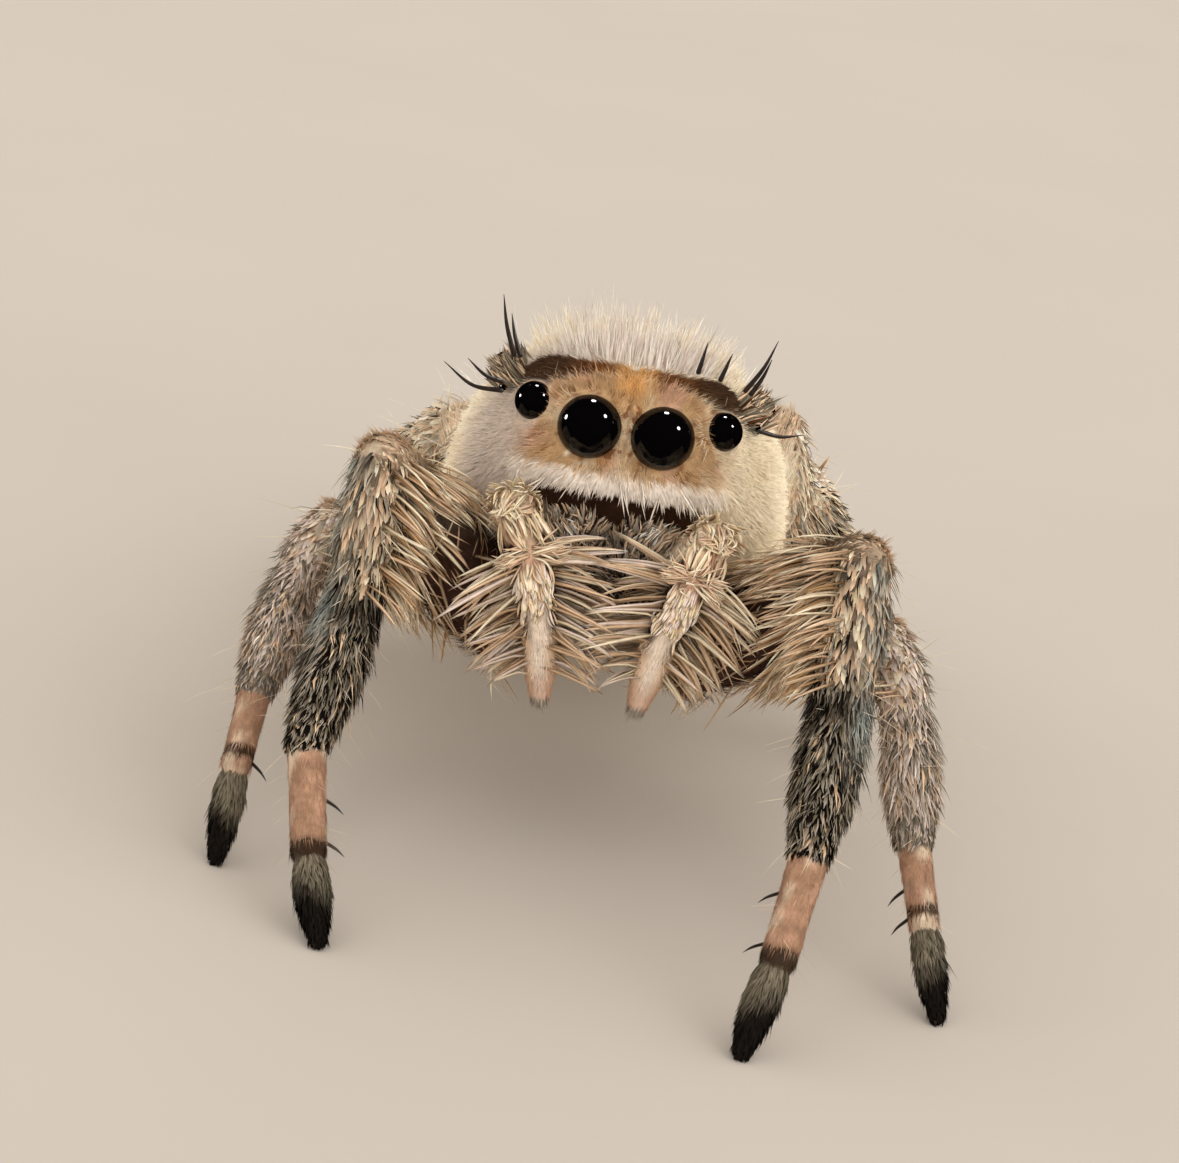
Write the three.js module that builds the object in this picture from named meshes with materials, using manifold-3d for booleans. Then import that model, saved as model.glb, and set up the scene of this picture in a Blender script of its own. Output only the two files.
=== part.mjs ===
// A jumping spider, standing still on all eight feet: a life-size museum model.
//
// Millimetres, +Z up. The spider faces -Y and its left side is at +X. Every solid reaches to the
// tips of its coat. Places are given from the point midway between the two big front eyes,
// EYE_HEIGHT over the floor, and the finished model is moved so that its box is centred on the origin.

import * as THREE from 'three';
import Module from 'manifold-3d';
import { mergeVertices } from 'three/addons/utils/BufferGeometryUtils.js';

const wasm = await Module();
wasm.setup();

// ---------------------------------------------------------------- driving dimensions

const EYE_HEIGHT = 6.2;     // big front eyes over the floor
const BODY_PITCH = 12;      // degrees, front body raised at the face
const HEAD_BACK = 2.5;      // head ends here, behind the rear eyes
const GAP = 0.04;           // left between two neighbouring solids
const FOOT_LIFT = 0.12;     // end of a foot's axis over the floor, less than its radius: a small flat

// Front body, nose to tail: [back, half width, top, bottom] in its own pitched frame.
const FRONT_BODY = [
  [-0.02, 0.0, -0.05, -0.05],
  [-0.02, 0.85, 0.5, -0.62],
  [0.12, 1.24, 0.74, -0.88],
  [0.5, 1.62, 1.02, -1.35],
  [1.2, 2.05, 1.34, -2.2],
  [2.2, 2.36, 1.36, -2.7],
  [3.2, 2.42, 0.9, -2.8],
  [4.2, 2.05, -0.05, -2.7],
  [4.9, 1.3, -1.1, -2.5],
  [5.3, 0.0, -1.8, -1.8],
];
const FRONT_BODY_LEVEL = 0.3;     // share of the height at which it is widest
const FRONT_BODY_SQUARE = 2.5;    // 2 is an ellipse, more is squarer

// Abdomen, front to back: [back, half width, top, bottom] from its own front end.
const ABDOMEN = [
  [0.0, 0.0, 0.0, 0.0],
  [0.12, 0.95, 0.85, -0.75],
  [0.8, 1.85, 1.7, -1.5],
  [2.0, 2.45, 2.15, -2.0],
  [3.6, 2.7, 2.15, -2.1],
  [5.2, 2.35, 1.75, -1.8],
  [6.4, 1.45, 1.0, -1.2],
  [6.95, 0.7, 0.35, -0.6],
  [7.1, 0.0, -0.1, -0.1],
];
const ABDOMEN_FRONT = [0, 4.95, 3.15];
const ABDOMEN_PITCH = 7;          // degrees, its rear end hangs lower
const ABDOMEN_LEVEL = 0.48;
const ABDOMEN_SQUARE = 2.1;

// Eyes, outermost last: [name, side offset, back, up, radius] in the front body's frame.
const EYES = [
  ['eye_front_middle', 0.48, 0.14, 0.0, 0.43],
  ['eye_front_side', 1.24, 0.28, 0.19, 0.26],
  ['eye_small', 1.66, 1.3, 0.2, 0.1],
  ['eye_rear', 1.7, 2.2, 0.38, 0.24],
];

// Leg segment lengths from the foot up: tarsus, metatarsus, tibia, patella.
const LEG_LENGTHS = [
  [1.22, 1.4, 2.1, 1.74],
  [1.22, 1.08, 1.7, 1.48],
  [1.1, 1.7, 1.6, 1.5],
  [1.2, 1.9, 1.9, 1.4],
];

// Radii of leg 1, coat included, evenly spaced from the upper end to the lower. The femur's run
// starts with the coxa and the tibia's with the patella. The other legs are thinner.
const LEG_GIRTHS = {
  femur: [0.6, 0.76, 0.8, 0.84, 0.56],
  tibia: [0.5, 0.54, 0.48, 0.5, 0.4],
  metatarsus: [0.29, 0.28, 0.28],
  tarsus: [0.28, 0.34, 0.2],
};
const LEG_SCALE = [1, 0.87, 0.82, 0.84];

// Where each leg stands: hip and foot as [side, back], the hip's height, and from the foot up to
// the knee, for tarsus, metatarsus, tibia and patella, the way that the leg leads away from the
// body (degrees outward from straight ahead) and its rise over the floor (degrees).
const LEG_POSES = {
  leg_1_right: { hip: [1.53, 1.42], height: 3.05, foot: [2.78, -3.65],
    lead: [-20, -17, 14, 9], rise: [38, 49, 58, 74] },
  leg_1_left: { hip: [1.6, 1.05], height: 3.1, foot: [2.65, -4.77],
    lead: [-22, -14, -5, -1], rise: [52, 54, 55, 53] },
  leg_2_right: { hip: [1.8, 2.8], height: 2.85, foot: [4.36, -1.72],
    lead: [5, 4, 10, 12], rise: [62, 47, 40, 16] },
  leg_2_left: { hip: [1.9, 2.3], height: 2.95, foot: [5.14, -2.88],
    lead: [22, 22, 16, 14], rise: [46, 48, 49, 20] },
  leg_3_right: { hip: [1.7, 3.5], height: 2.8, foot: [4.5, 6.3],
    lead: [126, 126, 128, 130], rise: [40, 52, 60, 60] },
  leg_3_left: { hip: [1.7, 3.4], height: 2.8, foot: [4.2, 5.7],
    lead: [126, 126, 128, 130], rise: [48, 60, 70, 72] },
  leg_4_right: { hip: [1.55, 4.3], height: 2.75, foot: [4.75, 10.35],
    lead: [150, 150, 152, 154], rise: [34, 40, 44, 30] },
  leg_4_left: { hip: [1.55, 4.3], height: 2.75, foot: [4.85, 10.15],
    lead: [148, 148, 150, 152], rise: [34, 42, 46, 32] },
};
const COXA_START = 0.72;          // the coxa starts inside the body, at this share of the hip's side

// Palps, the short feelers: [side, back, height over the floor] at the mouth, and from the knee to the tip.
const PALP_ROOT = [0.75, 0.95, 3.75];
const PALP_ROUTES = {
  palp_right: [[1.27, -0.55, 5.14], [0.92, -0.87, 4.56], [0.68, -0.84, 3.7], [0.54, -0.6, 2.62]],
  palp_left: [[1.35, -0.55, 5.12], [1.14, -0.87, 4.58], [0.88, -0.84, 3.76], [0.73, -0.6, 2.7]],
};
const PALP_GIRTHS = {
  femur: [0.36, 0.42, 0.42],
  tibia: [0.42, 0.54, 0.54, 0.62, 0.48],
  tarsus: [0.44, 0.36, 0.19],
};
const PALP_FRINGE = 1.8;          // the fringe makes a palp this much wider than it is deep

// Jaws: [side, back, height] at the top and bottom, and the fang's tip.
const JAW_TOP = [0.46, 0.62, 5.0];
const JAW_FOOT = [0.5, 0.3, 3.6];
const JAW_GIRTH = [0.5, 0.52, 0.4];
const FANG_TIP = [0.12, 0.42, 3.12];
const FANG_GIRTH = [0.2, 0.15, 0.07];

// The narrow waist runs from inside the thorax to inside the abdomen.
const WAIST = { ahead: 0.9, behind: 0.5, girth: [0.38, 0.34, 0.38] };
// Spinnerets leave the abdomen near its rear end: inset forward of that end and drop below its axis.
const SPINNERET = { side: 0.26, inset: 0.35, drop: 0.2, length: 0.55, girth: [0.27, 0.25, 0.16] };

// ---------------------------------------------------------------- finishes

const finish = (color, roughness) => new THREE.MeshStandardMaterial({ color, roughness, metalness: 0 });
const FINISHES = {
  face: () => finish('#c9a374', 0.9),
  coat: () => finish('#cdbb9c', 0.95),
  abdomen: () => finish('#c9b594', 0.95),
  eye: () => finish('#120d0c', 0.05),
  jaw: () => finish('#4a3026', 0.35),
  fang: () => finish('#2a1712', 0.25),
  palp: () => finish('#c3a88c', 0.95),
  thigh: () => finish('#b89f82', 0.95),
  shin: () => finish('#6d665c', 0.95),
  stocking: () => finish('#c99878', 0.7),
  foot: () => finish('#35332d', 0.95),
  skin: () => finish('#9a7f68', 0.8),
};

// ---------------------------------------------------------------- from geometry to solids and back

function toSolid(geometry) {
  geometry.deleteAttribute('normal');
  geometry.deleteAttribute('uv');
  const merged = mergeVertices(geometry, 1e-5);
  const mesh = new wasm.Mesh({
    numProp: 3,
    vertProperties: new Float32Array(merged.attributes.position.array),
    triVerts: new Uint32Array(merged.index.array),
  });
  return new wasm.Manifold(mesh);
}

function toGeometry(solid) {
  const mesh = solid.getMesh();
  const geometry = new THREE.BufferGeometry();
  geometry.setAttribute('position', new THREE.BufferAttribute(mesh.vertProperties, 3));
  geometry.setIndex(new THREE.BufferAttribute(mesh.triVerts, 1));
  geometry.computeVertexNormals();
  return geometry;
}

// A cut can leave scraps: only the largest lump is the piece.
function largest(solid) {
  return solid.decompose().reduce((best, lump) => (lump.volume() > best.volume() ? lump : best));
}

// ---------------------------------------------------------------- shapes

const SHELL_SIDES = 18;
const SHELL_RINGS = 13;
const CAP_RINGS = 2;
const CAP_ROUND = 0.8;            // a rounded end sticks out this share of its radius

// Values that change smoothly along evenly spaced rows: at(0) is the first row, at(1) the last.
function smoothRows(rows) {
  const width = rows[0].length;
  const steps = rows.map((row, i) => i / (rows.length - 1));
  const rail = new THREE.CubicInterpolant(steps, rows.flat(), width, new Float32Array(width));
  return (share) => rail.evaluate(share);
}

// A closed surface of rings. A ring is { centre, wide, high, low }, three half-axes of its outline:
// low points against high. The first and last ring are single points.
function ringGeometry(rings, sides, squareness) {
  const geometry = new THREE.SphereGeometry(1, sides, rings.length - 1);
  const position = geometry.attributes.position;
  const power = 2 / squareness;
  const place = new THREE.Vector3();
  for (let i = 0; i < position.count; i += 1) {
    const ring = rings[Math.floor(i / (sides + 1))];
    const turn = ((i % (sides + 1)) / sides) * 2 * Math.PI;
    const across = Math.sign(Math.cos(turn)) * Math.abs(Math.cos(turn)) ** power;
    const up = Math.sign(Math.sin(turn)) * Math.abs(Math.sin(turn)) ** power;
    place.copy(ring.centre).addScaledVector(ring.wide, across);
    place.addScaledVector(up > 0 ? ring.high : ring.low, Math.abs(up));
    position.setXYZ(i, place.x, place.y, place.z);
  }
  return geometry;
}

const NOTHING = new THREE.Vector3();
const SIDE = new THREE.Vector3(1, 0, 0);
const BACK = new THREE.Vector3(0, 1, 0);
const UP = new THREE.Vector3(0, 0, 1);
const point = (centre) => ({ centre, wide: NOTHING, high: NOTHING, low: NOTHING });

// A body part through rows of [back, half width, top, bottom], widest at a share of its height.
function shell(rows, level, squareness, grow) {
  const at = smoothRows(rows);
  const rings = [];
  for (let i = 0; i <= SHELL_RINGS; i += 1) {
    const [back, halfWidth, top, bottom] = at(i / SHELL_RINGS);
    const middle = bottom + (top - bottom) * level;
    const centre = new THREE.Vector3(0, back, middle);
    rings.push({
      centre,
      wide: SIDE.clone().multiplyScalar(halfWidth + grow),
      high: UP.clone().multiplyScalar(top - middle + grow),
      low: UP.clone().multiplyScalar(bottom - middle - grow),
    });
  }
  const front = rings[0].centre;
  const rear = rings[SHELL_RINGS].centre;
  rings[0] = point(front.clone().addScaledVector(BACK, -grow));
  rings[1].centre.addScaledVector(BACK, -grow);
  rings[SHELL_RINGS - 1].centre.addScaledVector(BACK, grow);
  rings[SHELL_RINGS] = point(rear.clone().addScaledVector(BACK, grow));
  return ringGeometry(rings, SHELL_SIDES, squareness);
}

// A round limb through its joints, with the given radii evenly spaced along it and rounded ends.
// It is `fringe` times as wide in the direction of `across` as it is thick.
function limb(joints, radii, grow, { across = BACK, fringe = 1, sides = 8 } = {}) {
  const path = new THREE.CatmullRomCurve3(joints.map((joint) => new THREE.Vector3(...joint)));
  const radiusAt = smoothRows(radii.map((radius) => [radius + grow]));
  const ringAt = (share, beyond, scale) => {
    const along = path.getTangent(share);
    const wide = across.clone().addScaledVector(along, -across.dot(along)).normalize();
    const high = new THREE.Vector3().crossVectors(wide, along);
    const radius = radiusAt(share)[0] * scale;
    return {
      centre: path.getPoint(share).addScaledVector(along, beyond * radiusAt(share)[0] * CAP_ROUND),
      wide: wide.multiplyScalar(radius * fringe),
      high: high.clone().multiplyScalar(radius),
      low: high.multiplyScalar(-radius),
    };
  };
  const barrel = radii.length - 1;
  const rings = [point(ringAt(0, -1, 0).centre)];
  for (let i = 1; i < CAP_RINGS; i += 1) {
    const turn = (i / CAP_RINGS) * Math.PI / 2;
    rings.push(ringAt(0, -Math.cos(turn), Math.sin(turn)));
  }
  for (let i = 0; i <= barrel; i += 1) {
    rings.push(ringAt(i / barrel, 0, 1));
  }
  for (let i = CAP_RINGS - 1; i > 0; i -= 1) {
    const turn = (i / CAP_RINGS) * Math.PI / 2;
    rings.push(ringAt(1, Math.cos(turn), Math.sin(turn)));
  }
  rings.push(point(ringAt(1, 1, 0).centre));
  return toSolid(ringGeometry(rings, sides, 2));
}

// From the front body's pitched frame to the model's.
const pitch = THREE.MathUtils.degToRad(BODY_PITCH);
function placed(side, back, up) {
  return [
    side,
    back * Math.cos(pitch) + up * Math.sin(pitch),
    EYE_HEIGHT - back * Math.sin(pitch) + up * Math.cos(pitch),
  ];
}

// ---------------------------------------------------------------- the body

function frontBody(grow) {
  const geometry = shell(FRONT_BODY, FRONT_BODY_LEVEL, FRONT_BODY_SQUARE, grow);
  geometry.rotateX(-pitch);
  geometry.translate(0, 0, EYE_HEIGHT);
  return toSolid(geometry);
}

// The plane between head and thorax leans with the front body.
const neckNormal = [0, Math.cos(pitch), -Math.sin(pitch)];
const neckOffset = HEAD_BACK - EYE_HEIGHT * Math.sin(pitch);

function head(grow) {
  const forward = neckNormal.map((n) => -n);
  return frontBody(grow).trimByPlane(forward, -neckOffset - grow);
}

function abdomen(grow) {
  const geometry = shell(ABDOMEN, ABDOMEN_LEVEL, ABDOMEN_SQUARE, grow);
  geometry.rotateX(-THREE.MathUtils.degToRad(ABDOMEN_PITCH));
  geometry.translate(...ABDOMEN_FRONT);
  return toSolid(geometry);
}

function waist(grow) {
  const [side, back, height] = ABDOMEN_FRONT;
  const ends = [[side, back - WAIST.ahead, height], [side, back + WAIST.behind, height]];
  return limb(ends, WAIST.girth, grow, { across: SIDE });
}

function eye(side, [, offset, back, up, radius], grow) {
  const sides = radius > 0.2 ? 10 : 6;
  const geometry = new THREE.SphereGeometry(radius + grow, sides, sides / 2 + 2);
  geometry.translate(...placed(side * offset, back, up));
  return toSolid(geometry);
}

function spinneret(side, grow) {
  const along = ABDOMEN[ABDOMEN.length - 1][0] - SPINNERET.inset;
  const lean = THREE.MathUtils.degToRad(ABDOMEN_PITCH);
  const [, back, height] = ABDOMEN_FRONT;
  const root = [
    side * SPINNERET.side,
    back + along * Math.cos(lean),
    height - along * Math.sin(lean) - SPINNERET.drop,
  ];
  const tip = [root[0], root[1] + SPINNERET.length, root[2]];
  return limb([root, tip], SPINNERET.girth, grow, { across: SIDE });
}

// ---------------------------------------------------------------- legs, palps and jaws

const mirrored = (side, [across, back, height]) => [side * across, back, height];

// A leg's joints from the coxa down to the foot. Those below the hip are worked out from the foot up.
function legJoints(name) {
  const pose = LEG_POSES[name];
  const side = name.endsWith('left') ? 1 : -1;
  const lengths = LEG_LENGTHS[Number(name[4]) - 1];
  const joints = [[side * pose.foot[0], pose.foot[1], FOOT_LIFT]];
  lengths.forEach((length, i) => {
    const lead = THREE.MathUtils.degToRad(pose.lead[i]);
    const rise = THREE.MathUtils.degToRad(pose.rise[i]);
    const [x, y, z] = joints[0];
    joints.unshift([
      x - side * Math.sin(lead) * Math.cos(rise) * length,
      y + Math.cos(lead) * Math.cos(rise) * length,
      z + Math.sin(rise) * length,
    ]);
  });
  const hip = mirrored(side, [...pose.hip, pose.height]);
  const root = [hip[0] * COXA_START, hip[1], hip[2]];
  return [root, hip, ...joints];
}

function legPieces(name) {
  const joints = legJoints(name);
  const thickness = LEG_SCALE[Number(name[4]) - 1];
  const girth = (segment) => LEG_GIRTHS[segment].map((radius) => radius * thickness);
  const stout = { sides: name.startsWith('leg_1') ? 10 : 8 };
  const onFloor = (solid) => solid.trimByPlane([0, 0, 1], 0);
  return {
    femur: (grow) => limb(joints.slice(0, 3), girth('femur'), grow, stout),
    tibia: (grow) => limb(joints.slice(2, 5), girth('tibia'), grow, stout),
    metatarsus: (grow) => limb(joints.slice(4, 6), girth('metatarsus'), grow),
    tarsus: (grow) => onFloor(limb(joints.slice(5, 7), girth('tarsus'), grow)),
  };
}

function palpPieces(name) {
  const side = name.endsWith('left') ? 1 : -1;
  const joints = [PALP_ROOT, ...PALP_ROUTES[name]].map((joint) => mirrored(side, joint));
  const fringed = { across: SIDE, fringe: PALP_FRINGE };
  return {
    femur: (grow) => limb(joints.slice(0, 2), PALP_GIRTHS.femur, grow),
    tibia: (grow) => limb(joints.slice(1, 4), PALP_GIRTHS.tibia, grow, fringed),
    tarsus: (grow) => limb(joints.slice(3, 5), PALP_GIRTHS.tarsus, grow, { across: SIDE }),
  };
}

// ---------------------------------------------------------------- assembly

// Each piece is cut clear of all the pieces before it, so the ones that keep their shape come first.
const plan = [];
const SIDES = [['right', -1], ['left', 1]];

EYES.forEach((row) => SIDES.forEach(([word, side]) => {
  plan.push({ name: `${row[0]}_${word}`, make: (grow) => eye(side, row, grow), finish: 'eye' });
}));
plan.push({ name: 'head', make: head, finish: 'face' });
plan.push({ name: 'thorax', make: frontBody, finish: 'coat' });
plan.push({ name: 'abdomen', make: abdomen, finish: 'abdomen' });
plan.push({ name: 'waist', make: waist, finish: 'skin' });
SIDES.forEach(([word, side]) => {
  plan.push({ name: `spinneret_${word}`, make: (grow) => spinneret(side, grow), finish: 'skin' });
});
SIDES.forEach(([word, side]) => {
  const top = mirrored(side, JAW_TOP);
  const foot = mirrored(side, JAW_FOOT);
  const tip = mirrored(side, FANG_TIP);
  plan.push({ name: `jaw_${word}`, make: (grow) => limb([top, foot], JAW_GIRTH, grow), finish: 'jaw' });
  const fang = (grow) => limb([foot, tip], FANG_GIRTH, grow, { sides: 6 });
  plan.push({ name: `fang_${word}`, make: fang, finish: 'fang' });
});
Object.keys(PALP_ROUTES).forEach((name) => {
  Object.entries(palpPieces(name)).forEach(([segment, make]) => {
    plan.push({ name: `${name}_${segment}`, make, finish: 'palp' });
  });
});
const LEG_FINISH = { femur: 'thigh', tibia: 'shin', metatarsus: 'stocking', tarsus: 'foot' };
Object.keys(LEG_POSES).forEach((name) => {
  Object.entries(legPieces(name)).forEach(([segment, make]) => {
    plan.push({ name: `${name}_${segment}`, make, finish: LEG_FINISH[segment] });
  });
});

function boxesTouch(a, b) {
  return [0, 1, 2].every((k) => a.min[k] <= b.max[k] && b.min[k] <= a.max[k]);
}

const spider = new THREE.Group();
const settled = [];
plan.forEach((piece) => {
  let solid = piece.make(0);
  settled.forEach((earlier) => {
    if (boxesTouch(solid.boundingBox(), earlier.box)) {
      solid = solid.subtract(earlier.cutter);
    }
  });
  const cutter = piece.make(GAP);
  settled.push({ cutter, box: cutter.boundingBox() });
  const mesh = new THREE.Mesh(toGeometry(largest(solid)), FINISHES[piece.finish]());
  mesh.name = piece.name;
  spider.add(mesh);
});

const middle = new THREE.Box3().setFromObject(spider).getCenter(new THREE.Vector3());
spider.position.set(-middle.x, -middle.y, 0);

export default spider;
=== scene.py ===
"""The looks of a life-size jumping spider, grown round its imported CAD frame.

One skin stands for all the soft nodes. Hair is solid mesh: tapered three-sided bristles that follow
the lie of the coat. Shapes are worked out in millimetres from a point on the floor under the front
eyes, in the frame's own axes (-Y ahead, +X the spider's left, +Z up), and are moved into the row
frame, in metres, as each mesh is made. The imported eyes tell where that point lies.
"""

import math
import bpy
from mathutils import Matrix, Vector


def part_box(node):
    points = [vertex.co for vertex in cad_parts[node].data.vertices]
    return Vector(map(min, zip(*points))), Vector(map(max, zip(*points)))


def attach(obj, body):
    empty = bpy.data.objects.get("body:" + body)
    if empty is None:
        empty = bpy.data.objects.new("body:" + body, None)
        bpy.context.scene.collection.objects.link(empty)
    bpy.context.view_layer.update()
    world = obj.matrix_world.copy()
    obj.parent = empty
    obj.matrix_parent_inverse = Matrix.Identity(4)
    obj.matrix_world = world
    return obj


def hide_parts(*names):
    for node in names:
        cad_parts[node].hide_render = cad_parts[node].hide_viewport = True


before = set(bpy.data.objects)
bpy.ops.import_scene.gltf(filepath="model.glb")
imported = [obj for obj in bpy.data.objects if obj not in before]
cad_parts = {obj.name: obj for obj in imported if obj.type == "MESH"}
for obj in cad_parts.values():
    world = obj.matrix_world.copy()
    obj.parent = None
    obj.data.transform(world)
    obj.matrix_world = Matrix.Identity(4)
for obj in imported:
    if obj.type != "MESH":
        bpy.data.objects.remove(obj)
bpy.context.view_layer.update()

from types import SimpleNamespace

import bpy
import numpy as np
from bpy.props import FloatProperty, FloatVectorProperty, PointerProperty
from bpy.types import Operator, Panel, PropertyGroup
from mathutils import Matrix, Vector

bl_info = {
    "name": "Jumping Spider Coat",
    "version": (1, 0, 0),
    "blender": (4, 5, 0),
    "location": "3D View > Sidebar > Spider",
    "description": "Skin, eyes and coat of a life-size jumping spider",
    "category": "Object",
}

# ---------------------------------------------------------------- the frame's own sizes, mm and degrees

EYE_HEIGHT = 6.2
BODY_PITCH = 12.0
ABDOMEN_PITCH = 7.0
ABDOMEN_FRONT = (0.0, 4.95, 3.15)

# Front body and abdomen, front to back: back, half width, top, bottom, out to the tips of the coat.
FRONT_BODY = np.array([
    [-0.02, 0.0, -0.05, -0.05],
    [-0.02, 0.85, 0.5, -0.62],
    [0.12, 1.24, 0.74, -0.88],
    [0.5, 1.62, 1.02, -1.35],
    [1.2, 2.05, 1.34, -2.2],
    [2.2, 2.36, 1.36, -2.7],
    [3.2, 2.42, 0.9, -2.8],
    [4.2, 2.05, -0.05, -2.7],
    [4.9, 1.3, -1.1, -2.5],
    [5.3, 0.0, -1.8, -1.8],
])
ABDOMEN = np.array([
    [0.0, 0.0, 0.0, 0.0],
    [0.12, 0.95, 0.85, -0.75],
    [0.8, 1.85, 1.7, -1.5],
    [2.0, 2.45, 2.15, -2.0],
    [3.6, 2.7, 2.15, -2.1],
    [5.2, 2.35, 1.75, -1.8],
    [6.4, 1.45, 1.0, -1.2],
    [6.95, 0.7, 0.35, -0.6],
    [7.1, 0.0, -0.1, -0.1],
])
FACE_COAT = 0.05            # depth of the coat on the face
HEAD_COAT = 0.17            # on the rest of the front body
CROWN_COAT = 0.24           # more than that on top of the head, where the hair stands up
ABDOMEN_COAT = 0.24

# Eyes: side, back and up in the front body's frame, radius, and the way it looks (side, back, up).
EYES = {
    "eye_front_middle": (0.48, 0.14, 0.0, 0.43, (0.03, -1.0, 0.0)),
    "eye_front_side": (1.24, 0.28, 0.19, 0.26, (0.34, -1.0, 0.05)),
    "eye_small": (1.66, 1.3, 0.2, 0.1, (1.0, -0.35, 0.45)),
    "eye_rear": (1.7, 2.2, 0.38, 0.24, (1.0, 0.3, 0.55)),
}

# Legs 1 to 4: lengths of tarsus, metatarsus, tibia and patella, and girth beside that of leg 1.
LEG_LENGTHS = ((1.22, 1.4, 2.1, 1.74), (1.22, 1.08, 1.7, 1.48), (1.1, 1.7, 1.6, 1.5), (1.2, 1.9, 1.9, 1.4))
LEG_SCALE = (1.0, 0.87, 0.82, 0.84)
FOOT_LIFT = 0.12            # of the tarsus's lower end over the floor
COXA_START = 0.72           # share of the hip's distance from the midline
# Stance: hip and foot, and where each segment goes from the foot up, in degrees: lead from straight
# back towards the midline, and rise over level.
LEG_POSES = {
    "leg_1_right": dict(hip=(1.53, 1.42, 3.05), foot=(2.78, -3.65),
                        lead=(-20, -17, 14, 9), rise=(38, 49, 58, 74)),
    "leg_1_left": dict(hip=(1.6, 1.05, 3.1), foot=(2.65, -4.77),
                       lead=(-22, -14, -5, -1), rise=(52, 54, 55, 53)),
    "leg_2_right": dict(hip=(1.8, 2.8, 2.85), foot=(4.36, -1.72),
                        lead=(5, 4, 10, 12), rise=(62, 47, 40, 16)),
    "leg_2_left": dict(hip=(1.9, 2.3, 2.95), foot=(5.14, -2.88),
                       lead=(22, 22, 16, 14), rise=(46, 48, 49, 20)),
    "leg_3_right": dict(hip=(1.7, 3.5, 2.8), foot=(4.5, 6.3),
                        lead=(126, 126, 128, 130), rise=(40, 52, 60, 60)),
    "leg_3_left": dict(hip=(1.7, 3.4, 2.8), foot=(4.2, 5.7),
                       lead=(126, 126, 128, 130), rise=(48, 60, 70, 72)),
    "leg_4_right": dict(hip=(1.55, 4.3, 2.75), foot=(4.75, 10.35),
                        lead=(150, 150, 152, 154), rise=(34, 40, 44, 30)),
    "leg_4_left": dict(hip=(1.55, 4.3, 2.75), foot=(4.85, 10.15),
                       lead=(148, 148, 150, 152), rise=(34, 42, 46, 32)),
}
# Bare radii of leg 1 and the palps, from the upper end to the lower.
LEG_SKIN = {
    "femur": (0.46, 0.56, 0.58, 0.6, 0.38),
    "tibia": (0.36, 0.41, 0.34, 0.36, 0.28),
    "metatarsus": (0.26, 0.24, 0.24),
    "tarsus": (0.19, 0.2, 0.12),
}
PALP_ROOT = (0.75, 0.95, 3.75)
PALP_ROUTES = {
    "palp_right": ((1.27, -0.55, 5.14), (0.92, -0.87, 4.56), (0.68, -0.84, 3.7), (0.54, -0.6, 2.62)),
    "palp_left": ((1.35, -0.55, 5.12), (1.14, -0.87, 4.58), (0.88, -0.84, 3.76), (0.73, -0.6, 2.7)),
}
PALP_SKIN = {"femur": (0.26, 0.3, 0.28), "tibia": (0.24, 0.26, 0.26, 0.24), "tarsus": (0.24, 0.22, 0.13)}
JAW_TOP = (0.46, 0.62, 5.0)
JAW_FOOT = (0.5, 0.3, 3.6)
FANG_TIP = (0.12, 0.42, 3.12)
WAIST = dict(ahead=0.9, behind=0.5, girth=(0.34, 0.3, 0.34))
SPINNERET = dict(side=0.26, inset=0.35, drop=0.2, length=0.5, girth=(0.24, 0.2, 0.12))

SIDES = {"right": -1, "left": 1}
UP = np.array([0.0, 0.0, 1.0])


# ---------------------------------------------------------------- small sums

def linear(code):
    """An sRGB hex code as linear red, green and blue: the standard curve, channel by channel."""
    channels = [int(code[i:i + 2], 16) / 255 for i in (1, 3, 5)]
    return tuple(c / 12.92 if c <= 0.04045 else ((c + 0.055) / 1.055) ** 2.4 for c in channels)


def unit(vectors):
    """Vectors of length one."""
    return vectors / np.maximum(np.linalg.norm(vectors, axis=-1, keepdims=True), 1e-9)


def step(low, high, values):
    """0 below low, 1 above high, and an S-curve between them."""
    t = np.clip((values - low) / (high - low), 0, 1)
    return t * t * (3 - 2 * t)


def bump(centre, reach, values):
    """1 at the centre, falling to 0 at reach on either side of it."""
    return step(reach, 0.0, np.abs(values - centre)) if reach else values * 0


def blend(a, b, share):
    """Colours a turning into colours b."""
    share = np.asarray(share)[..., None]
    return np.asarray(a) * (1 - share) + np.asarray(b) * share


def smooth(rows, share):
    """Rows joined by a Catmull-Rom curve: share 0 is the first row and 1 the last."""
    rows = np.asarray(rows, float)
    rows = rows[:, None] if rows.ndim == 1 else rows
    place = np.clip(np.asarray(share, float), 0, 1) * (len(rows) - 1)
    first = np.minimum(place.astype(int), len(rows) - 2)
    t = (place - first)[..., None]
    padded = np.vstack([2 * rows[0] - rows[1], rows, 2 * rows[-1] - rows[-2]])
    a, b, c, d = (padded[first + k] for k in range(4))
    curve = 2 * b + (c - a) * t + (2 * a - 5 * b + 4 * c - d) * t ** 2 + (3 * b - a - 3 * c + d) * t ** 3
    return 0.5 * curve


def mottle(points, size, seed):
    """Smooth patches from -1 to 1: six sine waves in seeded directions, about size mm from crest to crest."""
    rng = np.random.default_rng(seed)
    ways = unit(rng.normal(size=(6, 3))) * rng.uniform(0.7, 1.4, (6, 1))
    phases = rng.uniform(0, 2 * np.pi, 6)
    return np.clip(np.sin(points @ ways.T * (2 * np.pi / size) + phases).mean(-1) * 2.2, -1, 1)


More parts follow.
